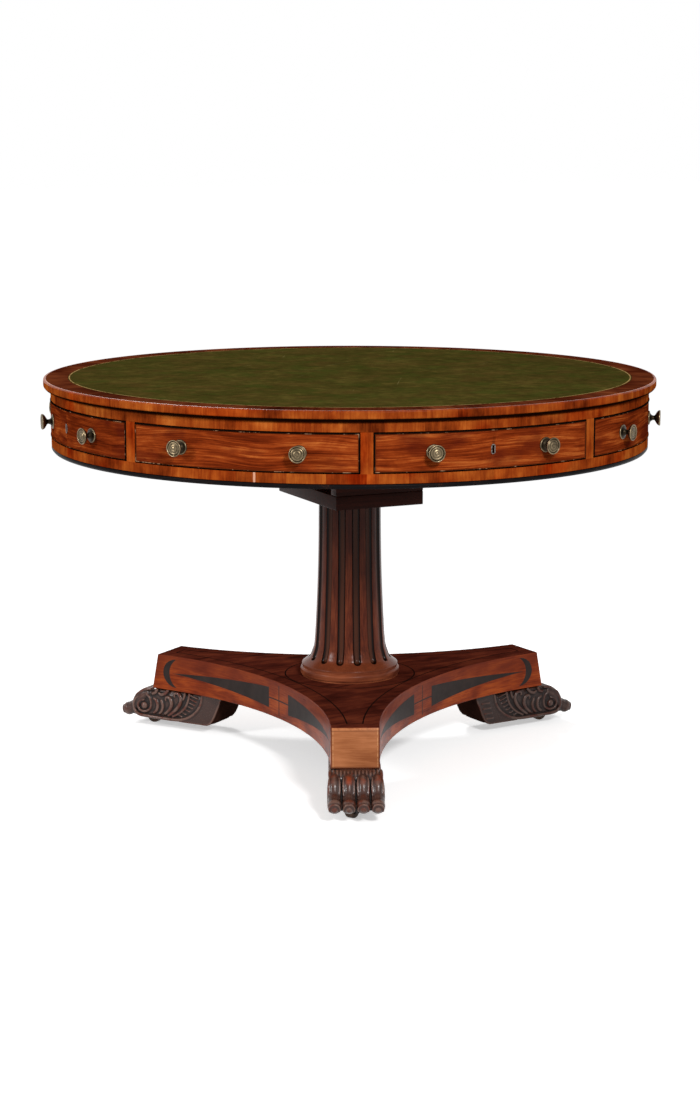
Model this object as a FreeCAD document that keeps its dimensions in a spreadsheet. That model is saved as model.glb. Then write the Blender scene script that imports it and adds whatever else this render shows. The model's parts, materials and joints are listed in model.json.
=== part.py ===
import FreeCAD, Part
import math
import os
import re
import Sketcher
from FreeCAD import Placement, Rotation, Vector

# Revolving drum table on a fluted column, a three-sided platform and carved paw feet with sunk casters.
# The origin is on the floor below the column's axis, +Z is up, and the four real drawers pull along X and Y.

doc = FreeCAD.newDocument("drum_table")
sizes = doc.addObject("Spreadsheet::Sheet", "Sizes")

# Driving dimensions: millimetres, degrees and counts
DIMENSIONS = [
    ("table_height", 760, "floor to the face of the leather"),
    ("top_thickness", 17.5, "whole top at its edge"),
    ("veneer", 2, "thickness of the leather and of the band round it"),
    ("edge_band", 3, "thickness of the band round the edge"),
    ("drum_radius", 582.4, "face of the frieze"),
    ("top_overhang", 13.6, "edge of the top beyond the frieze"),
    ("band_width", 47.5, "veneered band round the leather"),
    ("rail_depth", 30, "rails and stiles from front to back"),
    ("top_rail_height", 21.5, "rail above the drawers"),
    ("opening_height", 72.5, "opening of a drawer"),
    ("bottom_rail_height", 17.5, "rail below the drawers"),
    ("moulding_height", 9, "black moulding under the drum"),
    ("moulding_lip", 1.6, "step of the black moulding"),
    ("bay_count", 8, "fronts round the drum, real and dummy"),
    ("stile_width", 22, "upright between two fronts"),
    ("floor_thickness", 12, "board that the drawers run on"),
    ("front_thickness", 20.4, "drawer front"),
    ("front_gap", 0.6, "play round a front"),
    ("bead_width", 4, "cockbead seen from the front"),
    ("bead_depth", 9, "cockbead from its nose to its back"),
    ("bead_proud", 1.3, "nose of the cockbead before the front"),
    ("box_width", 400, "drawer box outside"),
    ("box_height", 60, "drawer box outside"),
    ("drawer_side", 10, "side board of a drawer"),
    ("drawer_back", 8, "back board of a drawer"),
    ("drawer_bottom", 6, "bottom board of a drawer"),
    ("bottom_rise", 4, "bottom board above the lower edge of the sides"),
    ("run_play", 0.8, "drawer box above the floor"),
    ("well_half", 225, "half of the square well that the drawers leave in the middle"),
    ("guide_thickness", 12, "partition beside a drawer"),
    ("guide_play", 1, "drawer side to partition"),
    ("stop_size", 15, "stop behind a drawer"),
    ("stop_spread", 120, "stop from the middle of its drawer"),
    ("glue_block", 20, "section of a glue block"),
    ("glue_length", 60, "length of a glue block"),
    ("glue_angle", 10, "glue block from the middle of its bay"),
    ("snug", 0.3, "play between pieces that turn or seat on each other"),
    ("fit_play", 0.05, "running fit of a turned pin in its bore"),
    ("screw_radius", 2.5, "shank of a screw"),
    ("screw_head", 5, "radius of a screw head"),
    ("screw_length", 55, "whole screw"),
    ("screw_spread", 60, "screw from the middle of its bearer"),
    ("knob_angle", 11, "knob from the middle of its front"),
    ("knob_radius", 15, "head of a knob"),
    ("knob_rose", 13.5, "back plate of a knob"),
    ("knob_neck", 4, "neck of a knob"),
    ("knob_reach", 23, "front of the knob before the drawer front"),
    ("knob_rim", 3, "rim of the head and of the back plate"),
    ("knob_shank", 2.5, "threaded shank through the front"),
    ("escutcheon_width", 8.6, "metal lining round the keyhole"),
    ("escutcheon_height", 18, "metal lining round the keyhole"),
    ("escutcheon_thickness", 0.8, "metal lining round the keyhole"),
    ("keyhole", 2, "half width of the keyhole"),
    ("lock_width", 62, "lock case"),
    ("lock_height", 46, "lock case"),
    ("lock_depth", 10, "lock case"),
    ("lock_recess", 2, "lock case let into the front"),
    ("bolt_width", 16, "lock bolt"),
    ("bolt_depth", 5, "lock bolt"),
    ("bolt_length", 22, "lock bolt"),
    ("bolt_throw", 6, "travel of the lock bolt"),
    ("bolt_set", 2.5, "lock bolt behind the face of its case"),
    ("board_width", 186, "pivot board along X"),
    ("board_length", 273, "pivot board along Y"),
    ("board_thickness", 27, "pivot board"),
    ("bearer_height", 94.5, "bearer between the pivot board and the drum's floor"),
    ("bearer_thickness", 25, "upright bearer on the pivot board"),
    ("plate_radius", 52, "brass bearing plate on the column"),
    ("plate_thickness", 3, "brass bearing plate"),
    ("pin_radius", 15, "iron pin that the drum turns on"),
    ("pin_depth", 100, "pin in the column"),
    ("pin_rise", 34, "pin above the pivot board"),
    ("nut_height", 24, "six-sided nut on the pin"),
    ("nut_radius", 28, "corners of the nut"),
    ("column_top", 61.6, "radius of the column under the plate"),
    ("column_waist", 69.6, "radius of the column above its flare"),
    ("column_flare", 95.2, "radius of the column at its foot"),
    ("flare_height", 45.4, "top of the flare above the ring"),
    ("flute_count", 14, "flutes round the column"),
    ("flute_width", 15, "flute"),
    ("flute_depth", 5, "flute"),
    ("flute_angle", 24.4, "turn of the flutes from X"),
    ("flute_stop", 14, "lower end of the flutes above the ring"),
    ("ring_radius", 98.7, "ring under the column"),
    ("ring_height", 22.6, "ring under the column"),
    ("ring_fillet", 2.5, "flat fillet under the ring"),
    ("tenon_radius", 35, "foot of the column in the platform"),
    ("tenon_short", 1.5, "foot of the column above the underside"),
    ("platform_base", 85.5, "underside of the platform"),
    ("platform_height", 73.5, "thickness of the platform"),
    ("side_curve", 722, "radius of the platform's hollow sides"),
    ("side_waist", 163.5, "axis to the nearest point of a hollow side"),
    ("leg_reach", 430, "axis to the end of a leg at its top"),
    ("leg_rake", 14, "end face of a leg, out at its foot"),
    ("leg_angle", -24.07, "first leg from the line of drawer 1"),
    ("inlay_depth", 1.2, "ebony let into the platform"),
    ("string_width", 2.6, "ebony line"),
    ("string_radius", 129.4, "ebony circle round the ring"),
    ("string_inset", 30, "ebony line inside the platform's edge"),
    ("string_end", 26, "ebony line inside the end of a leg"),
    ("crescent_inset", 64.4, "horns of the crescent inside the leg's reach along the side"),
    ("crescent_radius", 30, "outer round of the crescent"),
    ("crescent_hollow", 36, "inner round of the crescent"),
    ("spear_start", 38, "wide end of the spear from the side's middle"),
    ("spear_half", 21, "half of the spear's wide end"),
    ("paw_step", 92, "toes beyond the top of the leg's end"),
    ("paw_length", 290, "paw from its toes to its back"),
    ("paw_sole", 18, "sole above the floor"),
    ("paw_width", 104, "paw across"),
    ("paw_heel_width", 88, "paw across at its back"),
    ("toe_radius", 14, "round front of a toe"),
    ("toe_count", 4, "toes of a paw"),
    ("fringe_play", 0.4, "fringe of a paw before the leg's end"),
    ("caster_set", 67, "pivot of a caster behind the toes"),
    ("socket_radius", 31, "hollow in the paw round a caster"),
    ("socket_depth", 30, "hollow in the paw round a caster"),
    ("caster_plate_radius", 25, "plate of a caster"),
    ("caster_plate_thickness", 3, "plate of a caster"),
    ("wheel_radius", 16, "wheel"),
    ("wheel_width", 18, "wheel"),
    ("trail", 13, "axle behind the pivot of a caster"),
    ("fork_thickness", 3, "arm of a fork"),
    ("fork_arm", 14, "width of an arm"),
    ("axle_radius", 2.5, "axle of a wheel"),
    ("stem_radius", 5, "pivot of a caster"),
    ("caster_angle", -30, "first caster turned from its leg's line"),
    ("overrun", 5, "tools cut past the faces by this much"),
]
ALIASES = {row[0] for row in DIMENSIONS}
for line, (alias, value, note) in enumerate(DIMENSIONS, start=1):
    sizes.set(f"A{line}", alias)
    sizes.set(f"B{line}", str(value))
    sizes.set(f"C{line}", note)
    sizes.setAlias(f"B{line}", alias)
doc.recompute()


# Expressions are written with the names above
def in_sheet(expression):
    return re.sub(r"[a-z_][a-z0-9_]*", lambda word: named(word.group(0)), str(expression))


def named(word):
    return "Sizes." + word if word in ALIASES else word


def bind(thing, **expressions):
    for path, expression in expressions.items():
        thing.setExpression(path.replace("__", "."), in_sheet(expression))
    return thing


def number(expression):
    value = sizes.evalExpression(in_sheet(expression))
    return float(getattr(value, "Value", value))


def count(alias):
    return int(round(number(alias)))


# Heights and radii that follow from the dimensions
TOP_UNDER = "(table_height - top_thickness)"
TOP_RADIUS = "(drum_radius + top_overhang)"
LEATHER_RADIUS = f"({TOP_RADIUS} - band_width)"
OPENING_TOP = f"({TOP_UNDER} - top_rail_height)"
OPENING_BASE = f"({OPENING_TOP} - opening_height)"
RAIL_BASE = f"({OPENING_BASE} - bottom_rail_height)"
MOULDING_BASE = f"({RAIL_BASE} - moulding_height)"
FLOOR_BASE = f"({OPENING_BASE} - floor_thickness)"
RAIL_INNER = "(drum_radius - rail_depth)"
FRONT_INNER = "(drum_radius - front_thickness)"
BAY = "(360 / bay_count)"
STILE_ANGLE = "(stile_width / drum_radius * 180 / pi)"
GAP_ANGLE = "(front_gap / drum_radius * 180 / pi)"
BEAD_ANGLE = "(bead_width / drum_radius * 180 / pi)"
FRONT_SPAN = f"({BAY} - {STILE_ANGLE} - 2 * {GAP_ANGLE})"
FIELD_SPAN = f"({FRONT_SPAN} - 2 * {BEAD_ANGLE})"
FRONT_BASE = f"({OPENING_BASE} + front_gap)"
FRONT_HEIGHT = "(opening_height - 2 * front_gap)"
KNOB_LEVEL = f"({OPENING_BASE} + opening_height / 2)"
BOX_BASE = f"({OPENING_BASE} + run_play)"
BOARD_TOP = f"({FLOOR_BASE} - bearer_height)"
BOARD_BASE = f"({BOARD_TOP} - board_thickness)"
PLATFORM_TOP = "(platform_base + platform_height)"
RING_TOP = f"({PLATFORM_TOP} + ring_height)"
PLATE_TOP = f"({BOARD_BASE} - snug)"
COLUMN_TOP = f"({PLATE_TOP} - plate_thickness)"
FRONT_TOP = f"({FRONT_BASE} + {FRONT_HEIGHT})"
LOCK_FACE = f"({FRONT_INNER} + lock_recess)"
BOLT_BASE = f"({FRONT_TOP} - bolt_length)"
SOCKET_TOP = "(paw_sole + socket_depth)"
CROWN_TOP = f"({SOCKET_TOP} - caster_plate_thickness - snug)"
SIDE_CENTRE = "(side_curve + side_waist)"
STRING_REACH = "(leg_reach - string_end)"
CRESCENT_PLACE = "(leg_reach * cos(30) - crescent_inset)"
PAW_REACH = "(leg_reach + paw_step)"
PAW_HEEL = f"({PAW_REACH} - paw_length)"
CASTER_RADIUS = f"({PAW_REACH} - caster_set)"
LEG_ANGLES = ["(leg_angle - 90)", "(leg_angle + 30)", "(leg_angle + 150)"]
TOWARDS_DRAWER_1 = -90


# Solids from named sizes
def cylinder(name, radius, height, base="0", **more):
    solid = doc.addObject("Part::Cylinder", name)
    return bind(solid, Radius=radius, Height=height, Placement__Base__z=base, **more)


def sector(name, radius, height, base, span, middle):
    turn = f"{middle} - {span} / 2"
    return cylinder(name, radius, height, base, Angle=span, Placement__Rotation__Angle=turn)


def box(name, length, width, height, x, y, z):
    solid = doc.addObject("Part::Box", name)
    bind(solid, Length=length, Width=width, Height=height)
    return bind(solid, Placement__Base__x=x, Placement__Base__y=y, Placement__Base__z=z)


def cut(name, base, *tools):
    for tool in tools:
        result = doc.addObject("Part::Cut", name)
        result.Base = base
        result.Tool = tool
        base = result
    return base


def common(name, first, second):
    result = doc.addObject("Part::Common", name)
    result.Base = first
    result.Tool = second
    return result


def fuse(name, *shapes):
    result = doc.addObject("Part::MultiFuse", name)
    result.Shapes = list(shapes)
    return result


def group(name, shapes):
    result = doc.addObject("Part::Compound", name)
    result.Links = list(shapes)
    return result


def place(thing, turn="0", x="0", y="0", z="0"):
    bind(thing, Placement__Base__x=x, Placement__Base__y=y, Placement__Base__z=z)
    return bind(thing, Placement__Rotation__Angle=turn)


def wall(name, outer, inner, height, base, span, middle):
    body = sector(name + "_outer", outer, height, base, span, middle)
    core = cylinder(name + "_core", inner, f"{height} + 2 * overrun", f"{base} - overrun")
    return cut(name, body, core)


# A closed sketch: every corner is tied to the sheet, and a third entry makes the next edge an arc
def outline(owner, name, corners):
    sketch = owner.newObject("Sketcher::SketchObject", name)
    points = [Vector(number(corner[0]), number(corner[1]), 0) for corner in corners]
    starts = []
    for index, corner in enumerate(corners):
        here = points[index]
        there = points[(index + 1) % len(points)]
        if len(corner) == 2:
            sketch.addGeometry(Part.LineSegment(here, there), False)
            starts.append((index, 1, 2))
        else:
            starts.append(add_arc(sketch, index, here, there, corner[2], corner[3]))
    for index, (edge, first, last) in enumerate(starts):
        following = (index + 1) % len(starts)
        next_edge, next_first, _ = starts[following]
        sketch.addConstraint(Sketcher.Constraint("Coincident", edge, last, next_edge, next_first))
    for index, (edge, first, last) in enumerate(starts):
        tie(sketch, "DistanceX", edge, first, corners[index][0], points[index].x, -2)
        tie(sketch, "DistanceY", edge, first, corners[index][1], points[index].y, -1)
    return sketch


def tie(sketch, kind, edge, end, expression, value, axis):
    if str(expression) == "0":
        sketch.addConstraint(Sketcher.Constraint("PointOnObject", edge, end, axis))
        return
    row = sketch.addConstraint(Sketcher.Constraint(kind, -1, 1, edge, end, value))
    sketch.setExpression(f"Constraints[{row}]", in_sheet(expression))


def add_arc(sketch, edge, here, there, radius, side):
    length = number(radius)
    half = there.sub(here).multiply(1 / 2)
    rise = math.sqrt(max(length**2 - half.Length**2, 0))
    normal = Vector(-half.y, half.x, 0).normalize()
    centre = here.add(half).add(normal.multiply(rise * side))
    first, last = (here, there) if side > 0 else (there, here)
    angles = [math.atan2(point.y - centre.y, point.x - centre.x) for point in (first, last)]
    circle = Part.Circle(centre, Vector(0, 0, 1), length)
    sketch.addGeometry(Part.ArcOfCircle(circle, *angles), False)
    row = sketch.addConstraint(Sketcher.Constraint("Radius", edge, length))
    sketch.setExpression(f"Constraints[{row}]", in_sheet(radius))
    return (edge, 1, 2) if side > 0 else (edge, 2, 1)


# A turned piece is a body with one revolved profile of (radius, height) corners
def turned(name, corners):
    body = doc.addObject("PartDesign::Body", name)
    plane = next(part for part in body.Origin.OriginFeatures if part.Role == "XZ_Plane")
    sketch = outline(body, name + "_profile", corners)
    sketch.AttachmentSupport = [(plane, "")]
    sketch.MapMode = "FlatFace"
    revolution = body.newObject("PartDesign::Revolution", name + "_turned")
    revolution.Profile = sketch
    revolution.ReferenceAxis = (sketch, ["V_Axis"])
    return body


def ring(name, outer, inner, height, base):
    top = f"{base} + {height}"
    return turned(name, [(inner, base), (outer, base), (outer, top), (inner, top)])


def disc(name, radius, height, base):
    return ring(name, radius, "0", height, base)


nodes = {}


def node(name, thing):
    thing.Label = name
    nodes[name] = thing
    return thing


# Top: a core board, two bands and the leather
BOARD_FACE = "table_height - veneer"
node("top_board", disc("top_board", f"{TOP_RADIUS} - edge_band", "top_thickness - veneer", TOP_UNDER))
node("top_crossbanding", ring("top_crossbanding", TOP_RADIUS, LEATHER_RADIUS, "veneer", BOARD_FACE))
node("edge_crossbanding", ring("edge_crossbanding", TOP_RADIUS, f"{TOP_RADIUS} - edge_band",
                               "top_thickness - veneer", TOP_UNDER))
node("leather_inset", disc("leather_inset", LEATHER_RADIUS, "veneer", BOARD_FACE))

# Frieze: two rails, the stiles between them, the black moulding and the drum's floor
top_rail = ring("top_rail_blank", "drum_radius", RAIL_INNER, "top_rail_height", OPENING_TOP)
node("frieze_bottom_rail", ring("frieze_bottom_rail", "drum_radius", RAIL_INNER,
                                "bottom_rail_height", RAIL_BASE))
node("base_moulding", turned("base_moulding", [
    (RAIL_INNER, MOULDING_BASE),
    ("drum_radius - moulding_lip", MOULDING_BASE),
    ("drum_radius", RAIL_BASE),
    (RAIL_INNER, RAIL_BASE),
]))
node("drum_floor", disc("drum_floor", RAIL_INNER, "floor_thickness", FLOOR_BASE))
stiles = []
for bay in range(count("bay_count")):
    middle = f"({TOWARDS_DRAWER_1} + {BAY} * ({bay} + 1 / 2))"
    stiles.append(wall(f"stile_{bay + 1}", "drum_radius", RAIL_INNER, "opening_height", OPENING_BASE,
                       STILE_ANGLE, middle))
node("frieze_stiles", group("frieze_stiles", stiles))


# Fronts: a field with a rebate round it, where the cockbead lies
def front_blank(name, middle):
    back = wall(name + "_back", "drum_radius + bead_proud - bead_depth", FRONT_INNER, FRONT_HEIGHT,
                FRONT_BASE, FRONT_SPAN, middle)
    field = wall(name + "_field", "drum_radius", FRONT_INNER, f"{FRONT_HEIGHT} - 2 * bead_width",
                 f"{FRONT_BASE} + bead_width", FIELD_SPAN, middle)
    return fuse(name + "_blank", back, field)


def cockbead(name, middle):
    loop = wall(name + "_loop", "drum_radius + bead_proud", "drum_radius + bead_proud - bead_depth",
                FRONT_HEIGHT, FRONT_BASE, FRONT_SPAN, middle)
    window = sector(name + "_window", "drum_radius + overrun", f"{FRONT_HEIGHT} - 2 * bead_width",
                    f"{FRONT_BASE} + bead_width", FIELD_SPAN, middle)
    return cut(name, loop, window)


# Knobs: one turned profile, whose shank passes through the front
KNOB_CORNERS = [
    ("0", "-front_thickness"),
    ("knob_shank", "-front_thickness"),
    ("knob_shank", "0"),
    ("knob_rose", "0"),
    ("knob_rose", "knob_rim"),
    ("knob_neck", "knob_rim"),
    ("knob_neck", "knob_reach / 3"),
    ("knob_radius", "knob_reach - knob_rim"),
    ("knob_radius", "knob_reach"),
    ("0", "knob_reach"),
]


def outward(angle, radius, level):
    direction = Vector(math.cos(math.radians(angle)), math.sin(math.radians(angle)), 0)
    start = direction * number(radius) + Vector(0, 0, number(level))
    return Placement(start, Rotation(Vector(0, 0, 1), direction))


def knob(name, angle):
    piece = turned(name, KNOB_CORNERS)
    piece.Placement = outward(angle, "drum_radius", KNOB_LEVEL)
    return piece


def pair_of_knobs(name, middle):
    spread = number("knob_angle")
    return [knob(f"{name}_{side}", middle + sign * spread) for side, sign in (("left", -1), ("right", 1))]


def front(name, middle):
    shape = front_blank(name, middle)
    for sign in (-1, 1):
        hole = doc.addObject("Part::Cylinder", name + "_hole")
        bind(hole, Radius="knob_shank + fit_play", Height="front_thickness + 2 * overrun")
        hole.Placement = outward(middle + sign * number("knob_angle"), f"{FRONT_INNER} - overrun",
                                 KNOB_LEVEL)
        shape = cut(name + "_drilled", shape, hole)
    return shape


# Dummy fronts between the real drawers
dummy_fronts = []
dummy_beads = []
dummy_knobs = []
for corner in range(4):
    middle = TOWARDS_DRAWER_1 + 360 * (corner + 1 / 2) / 4
    dummy_fronts.append(front(f"dummy_front_{corner + 1}", middle))
    dummy_beads.append(cockbead(f"dummy_bead_{corner + 1}", middle))
    dummy_knobs.extend(pair_of_knobs(f"dummy_knob_{corner + 1}", middle))
node("dummy_fronts", group("dummy_fronts", dummy_fronts))
node("dummy_cockbeads", group("dummy_cockbeads", dummy_beads))
node("dummy_knobs", group("dummy_knobs", dummy_knobs))


# A keyhole is an upright slot with a round head, cut through its lining, the front and the lock case
def keyhole(name):
    start = "drum_radius + escutcheon_thickness + overrun"
    end = f"({FRONT_INNER} + lock_recess / 2)"
    round_part = doc.addObject("Part::Cylinder", name + "_round")
    bind(round_part, Radius="keyhole", Height=f"{start} - {end}")
    round_part.Placement = outward(TOWARDS_DRAWER_1, end, f"{KNOB_LEVEL} + keyhole * 2.6")
    slot = box(name + "_slot", "keyhole * 2", f"{start} - {end}", "keyhole * 6.2", "-keyhole", f"-({start})",
               f"{KNOB_LEVEL} - keyhole * 3.6")
    return fuse(name, round_part, slot)


def escutcheon(name):
    straight = "(escutcheon_height - escutcheon_width)"
    ends = []
    for sign in (-1, 1):
        end = doc.addObject("Part::Cylinder", name + "_end")
        bind(end, Radius="escutcheon_width / 2", Height="escutcheon_thickness")
        end.Placement = outward(TOWARDS_DRAWER_1, "drum_radius", f"{KNOB_LEVEL} + {sign} * {straight} / 2")
        ends.append(end)
    middle = box(name + "_middle", "escutcheon_width", "escutcheon_thickness", straight,
                 "-escutcheon_width / 2", "-drum_radius - escutcheon_thickness",
                 f"{KNOB_LEVEL} - {straight} / 2")
    return fuse(name + "_plate", middle, *ends)


# The lock bolt, or the way for it in the case, open at the top
def bolt_block(name, play):
    return box(name, f"bolt_width + 2 * {play}", f"bolt_depth + 2 * {play}", f"bolt_length + {play}",
               f"-bolt_width / 2 - {play}", f"-{LOCK_FACE} + bolt_set - {play}", f"{BOLT_BASE} - {play}")


# A group can be turned round the axis although the boxes in it are tied to the sheet
def turned_group(name, things, turn):
    return place(group(name, things), turn)


# One real drawer, made as it lies towards -Y and then turned to its place
def drawer(index):
    name = f"drawer_{index + 1}"
    turn = f"360 * {index} / 4"
    hole = keyhole(name + "_keyhole")
    pocket = box(name + "_pocket", "lock_width + 2 * fit_play", "lock_recess + overrun",
                 "lock_height + overrun", "-lock_width / 2 - fit_play", f"-{LOCK_FACE}",
                 f"{FRONT_TOP} - lock_height - fit_play")
    whole = cut(name + "_front_cut", front(name + "_front", TOWARDS_DRAWER_1), hole, pocket)
    pieces = {"front": [whole], "cockbead": [cockbead(name + "_bead", TOWARDS_DRAWER_1)]}

    inner_width = "(box_width - 2 * drawer_side)"
    curve = cylinder(name + "_curve", FRONT_INNER, "box_height + 2 * overrun", f"{BOX_BASE} - overrun")
    boards = []
    for side, edge in (("left", "-box_width / 2"), ("right", "box_width / 2 - drawer_side")):
        board = box(f"{name}_{side}_board", "drawer_side", f"{FRONT_INNER} - well_half", "box_height",
                    edge, f"-{FRONT_INNER}", BOX_BASE)
        boards.append(common(f"{name}_{side}", board, curve))
    bottom = box(name + "_bottom_board", inner_width, f"{FRONT_INNER} - well_half - drawer_back",
                 "drawer_bottom", f"-{inner_width} / 2", f"-{FRONT_INNER}", f"{BOX_BASE} + bottom_rise")
    boards.append(common(name + "_bottom", bottom, curve))
    boards.append(box(name + "_back", inner_width, "drawer_back", "box_height", f"-{inner_width} / 2",
                      "-well_half - drawer_back", BOX_BASE))
    pieces["box"] = boards

    pieces["knobs"] = pair_of_knobs(name + "_knob", TOWARDS_DRAWER_1)
    case = box(name + "_case", "lock_width", "lock_depth", "lock_height", "-lock_width / 2",
               f"-{LOCK_FACE}", f"{FRONT_TOP} - lock_height")
    case = cut(name + "_case_open", case, bolt_block(name + "_bolt_way", "snug"), hole)
    pieces["lock"] = [case, cut(name + "_escutcheon", escutcheon(name), hole)]
    pieces["lock_bolt"] = [bolt_block(name + "_bolt", "0")]
    for part, things in pieces.items():
        node(f"{name}_{part}", turned_group(f"{name}_{part}", things, turn))


for index in range(4):
    drawer(index)

# Mortises for the lock bolts in the top rail
mortises = []
for index in range(4):
    mortise = box(f"mortise_{index + 1}", "bolt_width + 2 * snug", "bolt_depth + 2 * snug",
                  "bolt_throw + overrun + snug", "-bolt_width / 2 - snug",
                  f"-{LOCK_FACE} + bolt_set - snug", f"{OPENING_TOP} - overrun")
    mortises.append(turned_group(f"mortise_turned_{index + 1}", [mortise], f"360 * {index} / 4"))
node("frieze_top_rail", cut("frieze_top_rail", top_rail, *mortises))

# Partitions, stops and glue blocks inside the drum
guides = []
stops = []
glue_blocks = []
drum_inside = cylinder("drum_inside", f"{RAIL_INNER} - snug", "table_height")
for index in range(4):
    turn = f"360 * {index} / 4"
    for side, edge in (("left", "-box_width / 2 - guide_play - guide_thickness"),
                       ("right", "box_width / 2 + guide_play")):
        board = box(f"guide_{index + 1}_{side}_board", "guide_thickness", f"{RAIL_INNER} - well_half",
                    f"{TOP_UNDER} - {OPENING_BASE}", edge, f"-{RAIL_INNER}", OPENING_BASE)
        trimmed = common(f"guide_{index + 1}_{side}_trimmed", board, drum_inside)
        guides.append(turned_group(f"guide_{index + 1}_{side}", [trimmed], turn))
    for sign in (-1, 1):
        stop = box(f"stop_block_{index + 1}", "stop_size", "stop_size", "stop_size",
                   f"{sign} * stop_spread - stop_size / 2", "-well_half + snug", OPENING_BASE)
        stops.append(turned_group(f"stop_{index + 1}", [stop], turn))
for bay in range(count("bay_count")):
    for sign in (-1, 1):
        seat = f"(sqrt({RAIL_INNER}^2 - glue_length^2 / 4) - snug)"
        block = box(f"glue_blank_{bay + 1}", "glue_block", "glue_length", "glue_block",
                    f"{seat} - glue_block", "-glue_length / 2", f"{TOP_UNDER} - glue_block")
        turn = f"{BAY} * {bay} + {sign} * glue_angle"
        glue_blocks.append(turned_group(f"glue_block_{bay + 1}", [block], turn))
node("drawer_guides", group("drawer_guides", guides))
node("drawer_stops", group("drawer_stops", stops))
node("glue_blocks", group("glue_blocks", glue_blocks))

# Iron pin and its nut, the board that turns on them and the two bearers up to the drum's floor
pin = node("pivot_pin", cylinder("pivot_pin", "pin_radius",
                                 f"{BOARD_TOP} + pin_rise - {COLUMN_TOP} + pin_depth",
                                 f"{COLUMN_TOP} - pin_depth"))
hexagon = doc.addObject("Part::Prism", "nut_hexagon")
hexagon.Polygon = 6
bind(hexagon, Circumradius="nut_radius", Height="nut_height", Placement__Base__z=f"{BOARD_TOP} + snug")
node("pivot_nut", cut("pivot_nut", hexagon, pin))
plate = cylinder("plate_blank", "plate_radius", "plate_thickness", COLUMN_TOP)
node("pivot_plate", cut("pivot_plate", plate, pin))
screws = []
for x_sign in (-1, 1):
    for y_sign in (-1, 1):
        screw = turned("bearer_screw", [
            ("0", "0"),
            ("screw_head", "0"),
            ("screw_head", "screw_radius"),
            ("screw_radius", "screw_radius"),
            ("screw_radius", "screw_length"),
            ("0", "screw_length"),
        ])
        screws.append(place(screw, "0", f"{x_sign} * screw_spread",
                            f"{y_sign} * (board_length - bearer_thickness) / 2", BOARD_BASE))
node("bearer_screws", group("bearer_screws", screws))
board = box("board_blank", "board_width", "board_length", "board_thickness", "-board_width / 2",
            "-board_length / 2", BOARD_BASE)
bore = cylinder("board_bore", "pin_radius + fit_play", "board_thickness + 2 * overrun",
                f"{BOARD_BASE} - overrun")
node("pivot_board", cut("pivot_board", board, bore, nodes["bearer_screws"]))
bearers = []
for edge in ("-board_length / 2", "board_length / 2 - bearer_thickness"):
    bearers.append(box("bearer_blank", "board_width", "bearer_thickness", "bearer_height",
                       "-board_width / 2", edge, BOARD_TOP))
node("bearers", cut("bearers", group("bearer_pair", bearers), nodes["bearer_screws"]))

# Column: a tapered shaft that flares at its foot, cut with stopped flutes
SHAFT_TOP = ("column_top", COLUMN_TOP)
SHAFT_FOOT = ("column_waist", f"{RING_TOP} + flare_height")
FLARE_SHARES = [(0.14, 0.62), (0.48, 0.27), (1, 0)]
FLARE = [(f"column_waist + {out} * (column_flare - column_waist)", f"{RING_TOP} + {up} * flare_height")
         for out, up in FLARE_SHARES]
column_blank = turned("column_blank", [
    ("0", COLUMN_TOP),
    SHAFT_TOP,
    SHAFT_FOOT,
    *FLARE,
    ("tenon_radius", RING_TOP),
    ("tenon_radius", "platform_base + tenon_short"),
    ("0", "platform_base + tenon_short"),
])


# A flute is cut by a round bar that lies along the shaft, and its lower end is round
def flute_cutter():
    depth = number("flute_depth")
    bar = (number("flute_width")**2 / 4 + depth**2) / (2 * depth)
    ends = (SHAFT_TOP, SHAFT_FOOT)
    top, foot = (Vector(number(radius) + bar - depth, 0, number(level)) for radius, level in ends)
    slope = (foot - top).normalize()
    start = top - slope * number("overrun")
    end = top + slope * ((top.z - bar - number(f"{RING_TOP} + flute_stop")) / -slope.z)
    rounding = Part.makeCylinder(bar, 2 * bar, end - Vector(bar, 0, 0), Vector(1, 0, 0))
    tip = Part.makeCylinder(bar, bar, end, slope).common(rounding)
    return Part.makeCylinder(bar, (end - start).Length, start, slope).fuse(tip)


cutter = flute_cutter()
flutes = doc.addObject("Part::Feature", "flute_cutters")
turns = [number("flute_angle") + 360 * step / count("flute_count") for step in range(count("flute_count"))]
flutes.Shape = Part.makeCompound([cutter.rotated(Vector(), Vector(0, 0, 1), turn) for turn in turns])
node("column", cut("column", column_blank, flutes, pin))
node("column_ring", turned("column_ring", [
    ("tenon_radius", PLATFORM_TOP),
    ("ring_radius - ring_fillet", PLATFORM_TOP),
    ("ring_radius - ring_fillet", f"{PLATFORM_TOP} + ring_fillet"),
    ("ring_radius", f"{PLATFORM_TOP} + ring_fillet"),
    ("ring_radius", f"{RING_TOP} - ring_fillet * 2"),
    ("ring_radius - ring_fillet * 2", RING_TOP),
    ("tenon_radius", RING_TOP),
]))


# A sheet with an outline of (along, up) corners in a leg's own plane, or lying level
def slab(name, corners, thickness, level=False):
    drawing = doc.addObject("App::DocumentObjectGroup", name + "_drawing")
    sketch = outline(drawing, name + "_outline", corners)
    solid = doc.addObject("Part::Extrusion", name)
    solid.Base = sketch
    solid.DirMode = "Custom"
    solid.Solid = True
    bind(solid, LengthFwd=thickness)
    solid.Dir = Vector(0, 0, 1)
    if not level:
        sketch.Placement = Placement(Vector(), Rotation(Vector(1, 0, 0), 90))
        solid.Dir = Vector(0, 1, 0)
        solid.Symmetric = True
    return solid


def at_angle(thing, angle, distance):
    return bind(thing, Placement__Base__x=f"{distance} * cos({angle})",
                Placement__Base__y=f"{distance} * sin({angle})")


# Platform: a disc with three hollow sides and three raked leg ends
SLOPE = "(leg_rake / platform_height * overrun)"
OUTSIDE = "(leg_reach + leg_rake + 4 * overrun)"


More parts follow.
